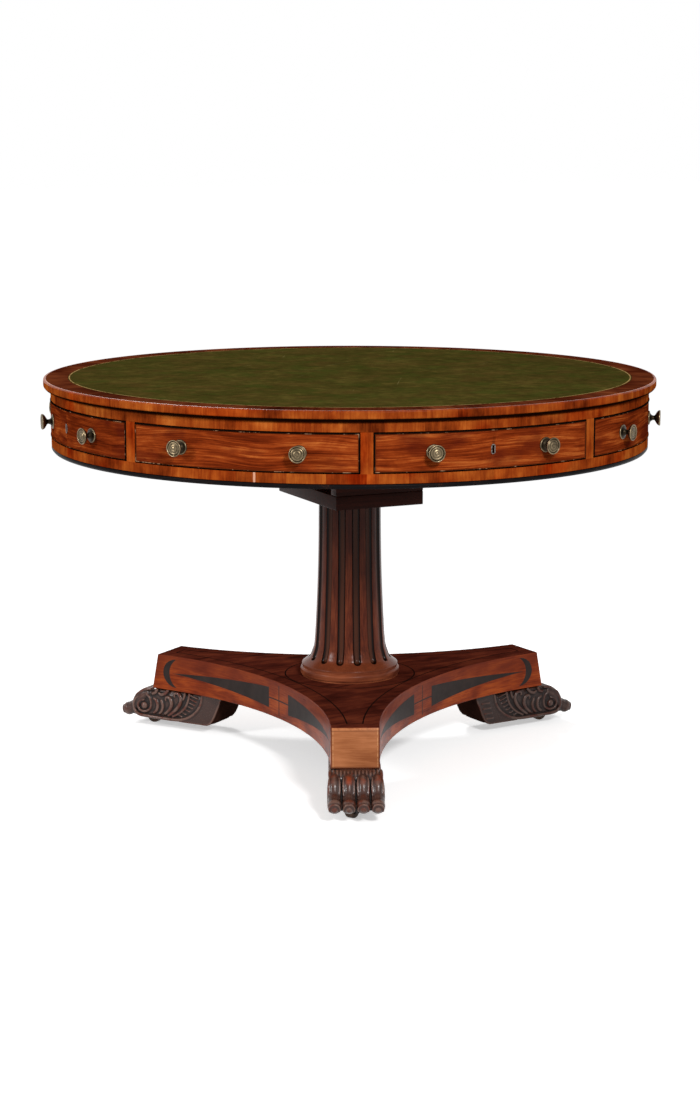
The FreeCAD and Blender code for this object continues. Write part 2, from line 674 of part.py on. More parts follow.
def leg_end(name, reach, turn):
    corners = [
        (f"{reach} - {SLOPE}", f"{PLATFORM_TOP} + overrun"),
        (f"{reach} + leg_rake + {SLOPE}", "platform_base - overrun"),
        (f"{OUTSIDE} + 2 * overrun", "platform_base - overrun"),
        (f"{OUTSIDE} + 2 * overrun", f"{PLATFORM_TOP} + overrun"),
    ]
    return place(slab(name, corners, "paw_width + 2 * overrun"), turn)


platform = cylinder("platform_disc", OUTSIDE, "platform_height", "platform_base")
for index, angle in enumerate(LEG_ANGLES):
    hollow = cylinder(f"hollow_side_{index + 1}", "side_curve", "table_height")
    at_angle(hollow, f"({angle} + 60)", SIDE_CENTRE)
    platform = cut("platform_blank", platform, hollow, leg_end(f"leg_end_{index + 1}", "leg_reach", angle))

# Ebony strings in the platform's top: a circle, lines along the sides and a line across each leg
STRING_BASE = f"{PLATFORM_TOP} - inlay_depth"
circle = cut("string_circle", cylinder("circle_outer", "string_radius + string_width / 2",
                                       "inlay_depth", STRING_BASE),
             cylinder("circle_inner", "string_radius - string_width / 2", "table_height"))
within = cylinder("string_within", OUTSIDE, "inlay_depth", STRING_BASE)
inside = cylinder("string_inside", OUTSIDE, "inlay_depth", STRING_BASE)
for index, angle in enumerate(LEG_ANGLES):
    for shape_name, inset, far in (("within", "string_inset", STRING_REACH),
                                   ("inside", "string_inset + string_width", f"{STRING_REACH} - string_width")):
        hollow = cylinder(f"string_side_{index + 1}", f"side_curve + {inset}", "table_height")
        at_angle(hollow, f"({angle} + 60)", SIDE_CENTRE)
        beyond = box("string_end", "leg_reach", "paw_width * 2", "table_height", far, "-paw_width", "0")
        beyond = turned_group(f"string_end_{index + 1}", [beyond], angle)
        if shape_name == "within":
            within = cut("string_within", within, hollow, beyond)
        else:
            inside = cut("string_inside", inside, hollow, beyond)
node("platform_stringing", fuse("platform_stringing", circle, cut("string_loop", within, inside)))

# Ebony figures in each hollow side: two crescents, two spears and a cross between them
INLAY_LEVEL = "(platform_base + platform_height / 2)"


def side_bar(name, radius, across):
    bar = doc.addObject("Part::Cylinder", name)
    bar.Placement = Placement(Vector(0, number(across), number(INLAY_LEVEL)),
                              Rotation(Vector(0, 0, 1), Vector(1, 0, 0)))
    return bind(bar, Radius=radius, Height=SIDE_CENTRE)


def side_figures():
    figures = []
    hollow_place = f"{CRESCENT_PLACE} - sqrt(crescent_hollow^2 - crescent_radius^2)"
    for sign in (-1, 1):
        outer = side_bar("crescent_outer", "crescent_radius", f"{sign} * {CRESCENT_PLACE}")
        inner = side_bar("crescent_inner", "crescent_hollow", f"{sign} * ({hollow_place})")
        figures.append(cut("crescent", outer, inner))
        spear = slab("spear", [
            (f"{sign} * spear_start", f"{INLAY_LEVEL} - spear_half"),
            (f"{sign} * ({CRESCENT_PLACE} + inlay_depth)", INLAY_LEVEL),
            (f"{sign} * spear_start", f"{INLAY_LEVEL} + spear_half"),
        ], f"2 * {SIDE_CENTRE}")
        figures.append(place(spear, "90"))
    level = box("cross_level", SIDE_CENTRE, "2 * spear_start", "string_width", "0", "-spear_start",
                f"{INLAY_LEVEL} - string_width / 2")
    upright = box("cross_upright", SIDE_CENTRE, "string_width", "2 * crescent_radius", "0",
                  "-string_width / 2", f"{INLAY_LEVEL} - crescent_radius")
    figures.append(fuse("cross", level, upright))
    return group("side_figures", figures)


skin = cylinder("inlay_back", "side_curve + inlay_depth", "platform_height", "platform_base")
skin = cut("inlay_skin", at_angle(skin, "0", SIDE_CENTRE),
           at_angle(cylinder("inlay_face", "side_curve", "table_height"), "0", SIDE_CENTRE))
inlays = common("inlay_figures", side_figures(), skin)
sides = [turned_group(f"side_inlay_{index + 1}", [inlays], f"{angle} + 60")
         for index, angle in enumerate(LEG_ANGLES)]
node("platform_inlays", group("platform_inlays", sides))
mortise = cylinder("column_mortise", "tenon_radius", "table_height")
node("platform", cut("platform", platform, mortise, nodes["platform_stringing"], nodes["platform_inlays"]))

# Paw feet: corners are shares of the paw's length and height, and arcs are shares of its height
PAW_HIGH = "(platform_base - paw_sole)"
PAW_SIDE_SHARES = [
    (0, 1),
    ("fringe", 1),
    ("fringe", 1.06),
    (0.775, 1.04, 1.18, -1),
    (0.921, 0.52, 0.34, -1),
    (0.997, 0.13, 0.19, -1),
    (0.952, 0.02),
    (0.924, 0),
    (0.234, 0, 0.89, -1),
    (0.103, 0.56),
]
FRINGE = "(leg_reach + leg_rake + fringe_play)"
TOE = "(paw_width / toe_count)"
TOE_SET_SHARES = [1.45, 0.85, 0.65, 0.85, 1.45]


def paw_corner(along, up, *arc):
    reach = FRINGE if along == "fringe" else f"{PAW_HEEL} + {along} * paw_length"
    corner = [reach, f"paw_sole + {up} * {PAW_HIGH}"]
    if arc:
        corner += [f"{arc[0]} * {PAW_HIGH}", arc[1]]
    return tuple(corner)


def paw_plan():
    corners = [(PAW_HEEL, "-paw_heel_width / 2")]
    for toe, share in enumerate(TOE_SET_SHARES):
        corner = (f"{PAW_REACH} - {share} * toe_radius", f"{toe} * {TOE} - paw_width / 2")
        corners.append(corner if toe == len(TOE_SET_SHARES) - 1 else (*corner, "toe_radius", 1))
    corners.append((PAW_HEEL, "paw_heel_width / 2"))
    return corners


def paw_foot(name, turn):
    side = slab(name + "_side", [paw_corner(*shares) for shares in PAW_SIDE_SHARES],
                "paw_width + 2 * overrun")
    plan = slab(name + "_plan", paw_plan(), "platform_base + platform_height", level=True)
    socket = cylinder(name + "_socket", "socket_radius", "socket_depth + overrun", "paw_sole - overrun")
    stem_hole = cylinder(name + "_stem_hole", "stem_radius + snug", "platform_base")
    shape = cut(name + "_hollow", common(name + "_solid", side, plan), at_angle(socket, "0", CASTER_RADIUS),
                at_angle(stem_hole, "0", CASTER_RADIUS))
    return turned_group(name, [shape], turn)


# Casters: a plate in the paw, a fork that swivels below it and a wheel on the fork's axle
ARM_SET = "(wheel_width / 2 + snug)"
CROWN_RADIUS = f"({ARM_SET} + fork_thickness)"


def caster_plate(name, turn):
    disc_shape = cylinder(name + "_disc", "caster_plate_radius", "caster_plate_thickness",
                          f"{SOCKET_TOP} - caster_plate_thickness")
    hole = cylinder(name + "_hole", "stem_radius + fit_play", "platform_base")
    shape = cut(name + "_drilled", disc_shape, hole)
    return turned_group(name, [at_angle(group(name + "_out", [shape]), "0", CASTER_RADIUS)], turn)


def caster_frame(turn, swivel):
    leg = Placement(Vector(), Rotation(Vector(0, 0, 1), number(turn)))
    pivot = Placement(Vector(number(CASTER_RADIUS), 0, 0), Rotation(Vector(0, 0, 1), number(swivel)))
    return leg.multiply(pivot)


def caster_fork(name, turn, swivel):
    crown_base = f"({CROWN_TOP} - fork_thickness)"
    parts = [
        cylinder(name + "_crown", CROWN_RADIUS, "fork_thickness", crown_base),
        box(name + "_bridge", "trail + fork_arm / 2", f"2 * {CROWN_RADIUS}", "fork_thickness", "0",
            f"-{CROWN_RADIUS}", crown_base),
        cylinder(name + "_stem", "stem_radius", f"platform_base - overrun - {crown_base}", crown_base),
    ]
    for edge in (ARM_SET, f"-{CROWN_RADIUS}"):
        parts.append(box(name + "_arm", "fork_arm", "fork_thickness",
                         f"{crown_base} - wheel_radius + fork_arm / 2", "trail - fork_arm / 2", edge,
                         "wheel_radius - fork_arm / 2"))
    axle = doc.addObject("Part::Cylinder", name + "_axle")
    bind(axle, Radius="axle_radius", Height=f"2 * {CROWN_RADIUS}")
    axle.Placement = Placement(Vector(number("trail"), -number(CROWN_RADIUS), number("wheel_radius")),
                               Rotation(Vector(0, 0, 1), Vector(0, 1, 0)))
    fork = group(name, [fuse(name + "_iron", *parts, axle)])
    fork.Placement = caster_frame(turn, swivel)
    return fork


def caster_wheel(name, turn, swivel):
    half = "wheel_width / 2"
    wheel = turned(name, [
        ("axle_radius + fit_play", f"-{half}"),
        ("wheel_radius", f"-{half}"),
        ("wheel_radius", half),
        ("axle_radius + fit_play", half),
    ])
    axle = Placement(Vector(number("trail"), 0, number("wheel_radius")),
                     Rotation(Vector(0, 0, 1), Vector(0, 1, 0)))
    wheel.Placement = caster_frame(turn, swivel).multiply(axle)
    return wheel


plates = []
for index, angle in enumerate(LEG_ANGLES):
    swivel = "caster_angle" if index == 0 else "0"
    node(f"paw_foot_{index + 1}", paw_foot(f"paw_foot_{index + 1}", angle))
    plates.append(caster_plate(f"caster_plate_{index + 1}", angle))
    node(f"caster_{index + 1}_fork", caster_fork(f"caster_{index + 1}_fork", angle, swivel))
    node(f"caster_{index + 1}_wheel", caster_wheel(f"caster_{index + 1}_wheel", angle, swivel))
node("caster_plates", group("caster_plates", plates))

# Every object has to be whole before its solids are written
doc.recompute()
for thing in doc.Objects:
    if "Invalid" in thing.State or "Error" in thing.State:
        raise RuntimeError(f"{thing.Name} failed: {thing.State}")
os.makedirs("parts", exist_ok=True)
for name, thing in nodes.items():
    if thing.Shape.isNull() or not thing.Shape.isValid() or not thing.Shape.Solids:
        raise RuntimeError(f"{name} has no valid solid")
    thing.Shape.exportStep(f"parts/{name}.step")
    print(name, len(thing.Shape.Solids), round(thing.Shape.Volume))
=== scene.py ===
import json
import math

import bmesh
import bpy
import numpy
from mathutils import Matrix, Vector

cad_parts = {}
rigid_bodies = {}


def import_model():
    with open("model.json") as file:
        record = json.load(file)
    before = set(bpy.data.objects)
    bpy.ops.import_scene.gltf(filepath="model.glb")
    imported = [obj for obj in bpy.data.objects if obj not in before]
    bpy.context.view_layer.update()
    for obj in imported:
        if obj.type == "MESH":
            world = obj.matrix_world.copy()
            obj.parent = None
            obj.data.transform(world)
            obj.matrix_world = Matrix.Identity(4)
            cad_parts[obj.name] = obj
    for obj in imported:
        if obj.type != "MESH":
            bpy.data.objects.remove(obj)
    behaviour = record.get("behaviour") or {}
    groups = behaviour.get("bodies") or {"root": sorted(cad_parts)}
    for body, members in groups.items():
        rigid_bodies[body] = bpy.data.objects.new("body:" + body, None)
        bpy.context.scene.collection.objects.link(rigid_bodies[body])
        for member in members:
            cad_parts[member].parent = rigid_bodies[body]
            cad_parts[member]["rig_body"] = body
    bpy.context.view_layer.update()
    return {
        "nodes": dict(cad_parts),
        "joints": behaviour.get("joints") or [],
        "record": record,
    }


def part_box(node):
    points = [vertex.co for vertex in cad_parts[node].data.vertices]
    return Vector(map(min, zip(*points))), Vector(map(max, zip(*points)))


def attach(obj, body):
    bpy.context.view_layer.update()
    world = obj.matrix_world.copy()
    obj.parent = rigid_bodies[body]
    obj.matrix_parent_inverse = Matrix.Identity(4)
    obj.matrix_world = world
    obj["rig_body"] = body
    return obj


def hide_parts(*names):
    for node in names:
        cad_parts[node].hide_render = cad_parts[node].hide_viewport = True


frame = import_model()
SLOTS = {row["node"]: row["material_slot"] for row in frame["record"]["subparts"]}

# Sizes in metres, read from the solids
RIM_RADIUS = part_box("edge_crossbanding")[1].x
RIM_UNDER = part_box("edge_crossbanding")[0].z
TOP_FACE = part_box("leather_inset")[1].z
LEATHER_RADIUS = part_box("leather_inset")[1].x
DRUM_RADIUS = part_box("frieze_top_rail")[1].x
OPENING_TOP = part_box("frieze_top_rail")[0].z
OPENING_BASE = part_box("frieze_bottom_rail")[1].z
RAIL_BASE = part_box("frieze_bottom_rail")[0].z
MOULDING_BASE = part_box("base_moulding")[0].z
PLATFORM_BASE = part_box("platform")[0].z
PLATFORM_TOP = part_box("platform")[1].z
RING_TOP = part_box("column_ring")[1].z
RING_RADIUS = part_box("column_ring")[1].x
COLUMN_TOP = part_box("column")[1].z

# Sizes of single pieces that the solids' boxes don't tell
BAY = math.radians(45)
RAIL_INNER = DRUM_RADIUS - 0.03
STILE_SPAN = 0.022 / DRUM_RADIUS
FRONT_INNER = DRUM_RADIUS - 0.0204
FRONT_GAP = 0.0006
BEAD_WIDTH = 0.004
BEAD_DEPTH = 0.009
BEAD_PROUD = 0.0013
KNOB_TURN = math.radians(11)
KEYHOLE = 0.002
SHAFT_RADIUS = 0.066
LEG_TURNS = [math.radians(angle) for angle in (-114.07, 5.93, 125.93)]
LEG_REACH = 0.43
LEG_RAKE = 0.014
SIDE_CURVE = 0.722
SIDE_CENTRE = SIDE_CURVE + 0.1635
TOE_PITCH = 0.0262

# Sizes of the veneer and of what lies on it
LEAF_WIDTH = 0.071
LEAF_SWAY = 0.008
# How far in from the drum's face the painted shade under the rim reaches
RIM_SHADE_EDGE = 0.002
GILT_INSET = 0.0042
GILT_WIDTH = 0.0028
GILT_SOFT = 0.0004
MENDED_SPOT = math.radians(-131.9)
PANEL_HALF = 0.0398
PANEL_STRIP = 0.006


# Finishes


def shade(swatch):
    """The linear colour of a swatch written with 0 to 255 per channel."""
    parts = [part / 255 for part in swatch]
    linear = [part / 12.92 if part <= 0.04045 else ((part + 0.055) / 1.055) ** 2.4 for part in parts]
    return (*linear, 1)


def both_ways(operation):
    """An operator that adds a Math node, and its reflected form."""
    return (lambda self, other: self.finish.math(operation, self, other),
            lambda self, other: self.finish.math(operation, other, self))


class Tone:
    """A value that changes over a surface; its operators add Math nodes."""

    def __init__(self, finish, socket):
        self.finish = finish
        self.socket = socket

    __add__, __radd__ = both_ways("ADD")
    __sub__, __rsub__ = both_ways("SUBTRACT")
    __mul__, __rmul__ = both_ways("MULTIPLY")
    __truediv__, __rtruediv__ = both_ways("DIVIDE")
    __pow__, __rpow__ = both_ways("POWER")
    __lt__, __gt__ = both_ways("LESS_THAN")

    def __abs__(self):
        return self.finish.math("ABSOLUTE", self)


class Nodes:
    """A node tree and the ways to add to it."""

    def __init__(self, tree):
        self.tree = tree

    def node(self, kind, settings=None, values=None, output=0):
        node = self.tree.nodes.new("ShaderNode" + kind)
        for name, value in (settings or {}).items():
            if name == "stops":
                set_stops(node.color_ramp, value)
            else:
                setattr(node, name, value)
        for key, value in (values or {}).items():
            self.feed(node.inputs[key], value)
        return Tone(self, node.outputs[output])

    def feed(self, socket, value):
        if isinstance(value, Tone):
            self.tree.links.new(value.socket, socket)
        else:
            socket.default_value = value

    def math(self, operation, *values):
        return self.node("Math", {"operation": operation}, dict(enumerate(values)))

    def place(self):
        return self.node("TexCoord", output="Object")

    def stored(self, name, output="Fac"):
        """What the mesh stores under a name."""
        return self.node("Attribute", {"attribute_name": name}, output=output)

    def split(self, vector):
        parts = self.node("SeparateXYZ", {}, {0: vector}).socket.node
        return [Tone(self, output) for output in parts.outputs]

    def join(self, x, y, z):
        return self.node("CombineXYZ", {}, {0: x, 1: y, 2: z})

    def stretch(self, vector, factors):
        return self.node("VectorMath", {"operation": "MULTIPLY"}, {0: vector, 1: factors})

    def noise(self, vector, scale, detail=3, roughness=0.5, distortion=0):
        values = {"Vector": vector, "Scale": scale, "Detail": detail, "Roughness": roughness,
                  "Distortion": distortion}
        return self.node("TexNoise", {}, values)

    def cells(self, place, feature="F1", output=0):
        """Cells one unit long in a row along a line."""
        return self.node("TexVoronoi", {"voronoi_dimensions": "1D", "feature": feature},
                         {"W": place, "Scale": 1}, output)

    def band(self, value, none, full):
        """0 at none, 1 at full, which may be the smaller of the two, and smooth between."""
        return self.node("MapRange", {"interpolation_type": "SMOOTHSTEP"},
                         {"Value": value, "From Min": none, "From Max": full})

    def line(self, value, start, end, soft):
        """1 between start and end, 0 outside, each edge as wide as soft."""
        return self.band(value, start, start + soft) * self.band(value, end, end - soft)

    def ramp(self, value, *stops):
        """A colour for each value, from stops of a place and a swatch."""
        return self.node("ValToRGB", {"stops": stops}, {0: value})

    def mix(self, first, second, share, blend="MIX"):
        """Two colours, each a tone or a swatch, laid one over the other."""
        first, second = (shade(colour) if isinstance(colour, tuple) else colour for colour in (first, second))
        settings = {"data_type": "RGBA", "blend_type": blend}
        return self.node("Mix", settings, {0: share, 6: first, 7: second}, 2)

    def round_axis(self):
        """Angle, height and radius of a point about the table's axis."""
        x, y, z = self.split(self.place())
        return self.math("ARCTAN2", y, x), z, (x * x + y * y) ** 0.5

    def seen(self):
        """1 to the eye, straight or in a reflection, and 0 to the light that bounces."""
        rays = self.node("LightPath").socket.node.outputs
        seen = sum(Tone(self, rays[f"Is {kind} Ray"]) for kind in ("Camera", "Glossy", "Transmission"))
        return self.math("MINIMUM", seen, 1)


def set_stops(ramp, stops):
    ramp.elements[0].position = stops[0][0]
    ramp.elements[1].position = stops[-1][0]
    for place, *_ in stops[1:-1]:
        ramp.elements.new(place)
    for element, (_, *swatch) in zip(ramp.elements, stops):
        element.color = shade(swatch)


class Finish(Nodes):
    """One finish of the table: a surface, its colour and the nodes that vary it."""

    def __init__(self, name, polish=0.5, metallic=0):
        self.material = bpy.data.materials.new(name)
        self.material.use_nodes = True
        super().__init__(self.material.node_tree)
        self.surface = self.tree.nodes["Principled BSDF"]
        self.surface.inputs["Specular IOR Level"].default_value = polish
        self.surface.inputs["Metallic"].default_value = metallic

    def stain(self, swatch, share):
        """Lays a swatch over the colour so far."""
        self.colour = self.mix(self.colour, swatch, share)

    def lay(self, roughness, height=None, depth=0.0001, strength=0.5):
        """Gives the surface its colour, roughness and relief."""
        self.feed(self.surface.inputs["Base Color"], self.colour)
        self.feed(self.surface.inputs["Roughness"], roughness)
        if height is not None:
            relief = self.node("Bump", {}, {"Height": height, "Distance": depth, "Strength": strength})
            self.feed(self.surface.inputs["Normal"], relief)
        return self.material


DULL = 0
SATIN = 0.04
POLISH = 0.1
KEYHOLE_SHADE = (8, 6, 5)


def crossbanding(name, polish, dark, middle, light, red):
    """Veneer laid in short leaves, with its grain across the band, and painted shade under the rim."""
    finish = Finish(name, polish)
    angle, z, radius = finish.round_axis()
    along = angle * DRUM_RADIUS
    across = z - radius
    in_bays = (z > OPENING_BASE) * (z < OPENING_TOP)
    level = (z > OPENING_BASE) + (z > OPENING_TOP) + (z > RIM_UNDER)
    sway = finish.noise(finish.join(along, across * 0.5, level), 24, 2)
    leaf = (along + (sway - 0.5) * LEAF_SWAY) / LEAF_WIDTH + level * 17.3
    leaf_tone, leaf_hue, leaf_seam = finish.split(finish.cells(leaf, output="Color"))
    seam = finish.cells(leaf, "DISTANCE_TO_EDGE")
    fibre_place = finish.join(along, across * 0.07, level * 0.31 + leaf_tone)
    wide = finish.noise(fibre_place, 80, 4, 0.62)
    fine = finish.noise(fibre_place, 520, 3, 0.6)
    cloud = finish.noise(finish.join(along, across * 0.8, level * 0.31), 19, 4, 0.6)
    streak = 0.5 + (wide - 0.5) * 0.42 + (fine - 0.5) * 0.3 + (leaf_tone - 0.5) * 0.16 + (cloud - 0.5) * 0.75
    colour = finish.ramp(streak + in_bays * 0.07, (0.26, *dark), (0.45, *middle), (0.6, *light), (0.8, *red))
    warm = finish.band(finish.noise(finish.join(along, across, level * 0.9), 8, 2), 0.5, 0.66)
    glow = finish.mix(colour, light, 1, "SOFT_LIGHT")
    finish.colour = finish.mix(colour, glow, warm * 0.5 + leaf_hue * 0.3)
    joint = finish.band(seam, 0.011, 0) * finish.band(leaf_seam, 0.45, 0.8)
    finish.stain(dark, joint * 0.75)
    spot = abs(angle - MENDED_SPOT) * DRUM_RADIUS + (cloud - 0.5) * 0.006
    finish.stain((226, 172, 142), finish.band(spot, 0.0026, 0.0016) * (z < OPENING_BASE) * 0.75)
    # Painted shade under the rim: dark on the rail just below it and on the rim's lower roll, near the drum's
    # face only
    rise = z - RIM_UNDER
    under = finish.band(rise, -0.0075, -0.003) * (rise < 0.0001)
    roll = finish.band(rise, 0.0046, 0.001) * (rise > -0.0001)
    outside = finish.band(radius, DRUM_RADIUS - RIM_SHADE_EDGE, DRUM_RADIUS - RIM_SHADE_EDGE / 2)
    finish.stain((26, 8, 3), finish.math("MAXIMUM", under, roll) * 0.93 * outside)
    return finish.lay(0.22 + fine * 0.16, fine * 0.5 - joint * 0.6, strength=0.6)


def keyhole_wall(finish, radius):
    """1 inside the keyholes, where painted shade goes."""
    x, y, z = finish.split(finish.place())
    side = finish.math("MINIMUM", abs(x), abs(y))
    level = abs(z - (OPENING_TOP + OPENING_BASE) / 2)
    return (side < KEYHOLE * 1.4) * (level < KEYHOLE * 4.5) * (radius < DRUM_RADIUS - 0.0006)


def figured_front():
    """Drawer fronts: grain along the front, wavy dark figure and lighter flashes."""
    finish = Finish("figured mahogany", DULL)
    angle, z, radius = finish.round_axis()
    front = finish.math("ROUND", angle / BAY + 8)
    toss = finish.node("TexWhiteNoise", {"noise_dimensions": "1D"}, {"W": front})
    along = angle * DRUM_RADIUS + front * 3.1
    height = z + finish.noise(finish.join(along * 0.5, z, toss), 9, 2) * 0.03
    fibre = finish.noise(finish.join(along * 0.03, height, toss), 420, 4, 0.6)
    broad = finish.noise(finish.join(along * 0.07, height, toss), 76, 4, 0.55, 0.3)
    figure = finish.noise(finish.join(along * 0.5, z, toss * 3), 24, 4, 0.6, 1.4)
    pores = finish.noise(finish.join(along * 0.09, height, toss), 1300, 1)
    tone = 0.48 + (fibre - 0.5) * 0.75 + (broad - 0.5) * 0.75 + (figure - 0.5) * 0.35 + (toss - 0.5) * 0.06
    finish.colour = finish.ramp(tone, (0.22, 70, 20, 6), (0.42, 112, 40, 12), (0.56, 144, 60, 21),
                                (0.76, 190, 104, 46))
    blot = finish.noise(finish.join(along * 0.8, z * 1.3, toss * 5), 12, 3, 0.55)
    finish.stain((80, 22, 12), finish.band(blot, 0.5, 0.64) * 0.55)
    finish.stain((60, 18, 8), finish.band(pores, 0.6, 0.76) * 0.45)
    # Painted shade inside the keyhole
    finish.stain(KEYHOLE_SHADE, keyhole_wall(finish, radius))
    return finish.lay(0.2 + fibre * 0.16, fibre - pores * 0.3, 0.00008, 0.6)


def black_bead():
    """Cockbead: black outside, its inner edge rubbed through to the mahogany, with pale chips on its nose
    that also paint a highlight.
    """
    finish = Finish("black cockbead", DULL)
    inset, _, _ = finish.split(finish.stored("grain", "Vector"))
    chips_and_highlight = finish.band(finish.noise(finish.stretch(finish.place(), (1, 1, 0.6)), 62, 4, 0.65), 0.56, 0.64)
    finish.colour = finish.mix((15, 8, 6), (92, 38, 14), finish.band(inset, 0.6, 0.72))
    # Pale chips along the bead's nose, partly a painted highlight
    finish.stain((176, 132, 100), finish.line(inset, 0.4, 0.78, 0.12) * chips_and_highlight * 0.8)
    return finish.lay(0.3 + chips_and_highlight * 0.2)


def ebonised(name, polish, worn, black, grey):
    """Black stained wood, rubbed to brown in places."""
    finish = Finish(name, polish)
    place = finish.place()
    cloud = finish.noise(place, 34, 4)
    speck = finish.noise(place, 420, 2)
    finish.colour = finish.mix(black, grey, cloud)
    finish.stain((92, 52, 30), finish.band(cloud * 0.6 + speck * 0.4, 0.55, 0.68) * worn)
    return finish.lay(0.26 + speck * 0.2, speck, strength=0.4)


def scratches(finish, place, turn):
    """Fine straight scratches that lie in one direction, in some places only."""
    turned_place = finish.node("VectorRotate", {"rotation_type": "Z_AXIS"}, {"Vector": place, "Angle": turn})
    scratch = finish.noise(finish.stretch(turned_place, (3, 170, 1)), 1.6, 2, 0.4, 0.15)
    return finish.band(scratch, 0.735, 0.765) * finish.band(finish.noise(place, 7 + turn, 2), 0.52, 0.62)


def green_leather():
    """Olive hide with clouded dye, fine scratches and a rubbed gilt line at its edge."""
    finish = Finish("green leather", DULL)
    place = finish.place()
    _, _, radius = finish.round_axis()
    cloud = finish.noise(place, 9, 4, 0.6)
    mottle = finish.noise(place, 46, 4, 0.62)
    stain = finish.noise(place, 21, 5, 0.7)
    hue = finish.noise(place, 15, 5, 0.65)
    pebble = finish.node("TexVoronoi", {"feature": "SMOOTH_F1"}, {"Vector": place, "Scale": 900})
    tone = 0.49 + (cloud - 0.5) * 0.5 + (mottle - 0.5) * 0.55 + (stain - 0.5) * 0.4
    finish.colour = finish.ramp(tone, (0.24, 42, 40, 12), (0.5, 64, 57, 22), (0.76, 92, 80, 36))
    finish.stain((52, 64, 20), finish.band(hue, 0.5, 0.66) * 0.42)
    finish.stain((80, 58, 28), finish.band(hue, 0.5, 0.36) * 0.35)
    finish.stain((92, 84, 44), finish.band(finish.noise(place, 620, 2), 0.56, 0.7) * 0.3)
    scratch = sum(scratches(finish, place, turn) for turn in (0.5, 2.1, -0.7))
    finish.stain((132, 122, 80), scratch * 0.5)
    gilt_start = LEATHER_RADIUS - GILT_INSET
    line = finish.line(radius, gilt_start, gilt_start + GILT_WIDTH, GILT_SOFT)
    gilt = line * finish.band(finish.noise(place, 60, 5, 0.7), 0.36, 0.52)
    finish.stain((178, 142, 92), gilt * 0.85)
    height = pebble * 0.6 + mottle * 0.6 - scratch * 0.5 - line * 0.7
    return finish.lay(0.52 + cloud * 0.12 - gilt * 0.12, height, 0.00022, 0.7)


def plain_wood(name, dark, light, factors, polish=0.5, roughness=0.5, shade_at_rim=False):
    """Straight-grained wood in the round; factors squeeze the grain, and the last flag paints shade black at
    its edge under the rim.
    """
    finish = Finish(name, polish)
    place = finish.stretch(finish.place(), factors)
    fibre = finish.noise(place, 300, 4, 0.6)
    broad = finish.noise(place, 42, 3, 0.55, 0.5)
    finish.colour = finish.ramp(fibre * 0.45 + broad * 0.55, (0.32, *dark), (0.68, *light))
    if shade_at_rim:
        _, _, radius = finish.round_axis()
        # Painted shade at the edge under the rim
        finish.stain((20, 7, 3), radius > DRUM_RADIUS - RIM_SHADE_EDGE)
    return finish.lay(roughness + (fibre - 0.5) * 0.2, fibre, 0.00015)


def shaft_mahogany():
    """Column: dark red polish, painted shade black down the sides of the flutes and darker at the top,
    lighter at the foot.
    """
    finish = Finish("dark polished mahogany", 0.12)
    angle, z, radius = finish.round_axis()
    around = angle * SHAFT_RADIUS
    hollow = finish.stored("hollow")
    fibre = finish.noise(finish.join(around, z * 0.05, radius), 520, 3, 0.6)
    broad = finish.noise(finish.join(around, z * 0.25, radius), 60, 3)
    tone = 0.5 + (fibre - 0.5) * 0.7 + (broad - 0.5) * 0.6
    finish.colour = finish.ramp(tone, (0.3, 62, 23, 12), (0.5, 94, 40, 22), (0.72, 124, 60, 34))
    # Painted shade: darker towards the top, under the drum
    finish.stain((40, 10, 7), finish.band(z, 0.34, 0.5) * 0.5)
    finish.stain((120, 62, 38), finish.band(z - RING_TOP, 0.05, 0.004) * 0.45)
    # Painted shade in the flutes: black down their sides, lighter on their floors
    flute_shade = finish.mix((20, 8, 5), (76, 40, 25), finish.band(hollow, 0.6, 1))
    finish.colour = finish.mix(finish.colour, flute_shade, finish.band(hollow, 0.02, 0.16))
    return finish.lay(0.16 + fibre * 0.14, fibre)


def platform_veneer(name, polish, dark, middle, light, wear=None):
    """Veneer that follows the grain stored in the mesh, with its own wear laid over it."""
    finish = Finish(name, polish)
    grain = finish.stored("grain", "Vector")
    fibre = finish.noise(finish.stretch(grain, (0.05, 1, 1)), 480, 3, 0.6)
    broad = finish.noise(finish.stretch(grain, (0.25, 1, 1)), 48, 3, 0.55, 0.6)
    tone = 0.5 + (fibre - 0.5) * 0.6 + (broad - 0.5) * 0.8 + (finish.noise(grain, 14, 3) - 0.5) * 0.7
    finish.colour = finish.ramp(tone, (0.28, *dark), (0.5, *middle), (0.72, *light))
    if wear:
        wear(finish, grain)
    return finish.lay(0.22 + fibre * 0.16, fibre)


def darker_up(finish, grain):
    """Hollow sides: darker towards the top edge."""
    _, up, _ = finish.split(grain)
    finish.stain((98, 42, 30), finish.band(up, PLATFORM_BASE + 0.012, PLATFORM_TOP) * 0.6)


def right_leg_painted_shade(finish, grain):
    """Leg tops: painted shade makes the right leg's top darker than the others."""
    _, _, leg = finish.split(grain)
    finish.stain((44, 14, 12), (leg > 0.5) * (leg < 1.5) * 0.32)


def panel_edges(finish, grain):
    """Leg ends: a worn line inside the edges, a lighter strip on top that is partly wear and partly painted
    highlight, darker below and at the corners.
    """
    across, up, _ = finish.split(grain)
    side = abs(across) - PANEL_HALF
    above, below = up - PLATFORM_TOP + PANEL_STRIP, up - PLATFORM_BASE
    wear = finish.band(finish.noise(grain, 150, 4, 0.7), 0.38, 0.56)
    strip = finish.band(above, 0, 0.0012)
    groove = finish.band(above, -0.0014, -0.0004) - strip
    dark = finish.band(side, 0.0022, 0.0032) + finish.band(below, 0.005, 0.001)
    finish.stain((214, 158, 110), finish.line(side, 0, 0.002, 0.0006) * wear * 0.6)
    # The lighter strip along the top edge: wear and painted highlight
    finish.stain((196, 124, 80), strip * wear * 0.55)
    finish.stain((86, 44, 26), groove * 0.6)
    finish.stain((74, 32, 20), finish.math("MINIMUM", dark, 1) * 0.75)


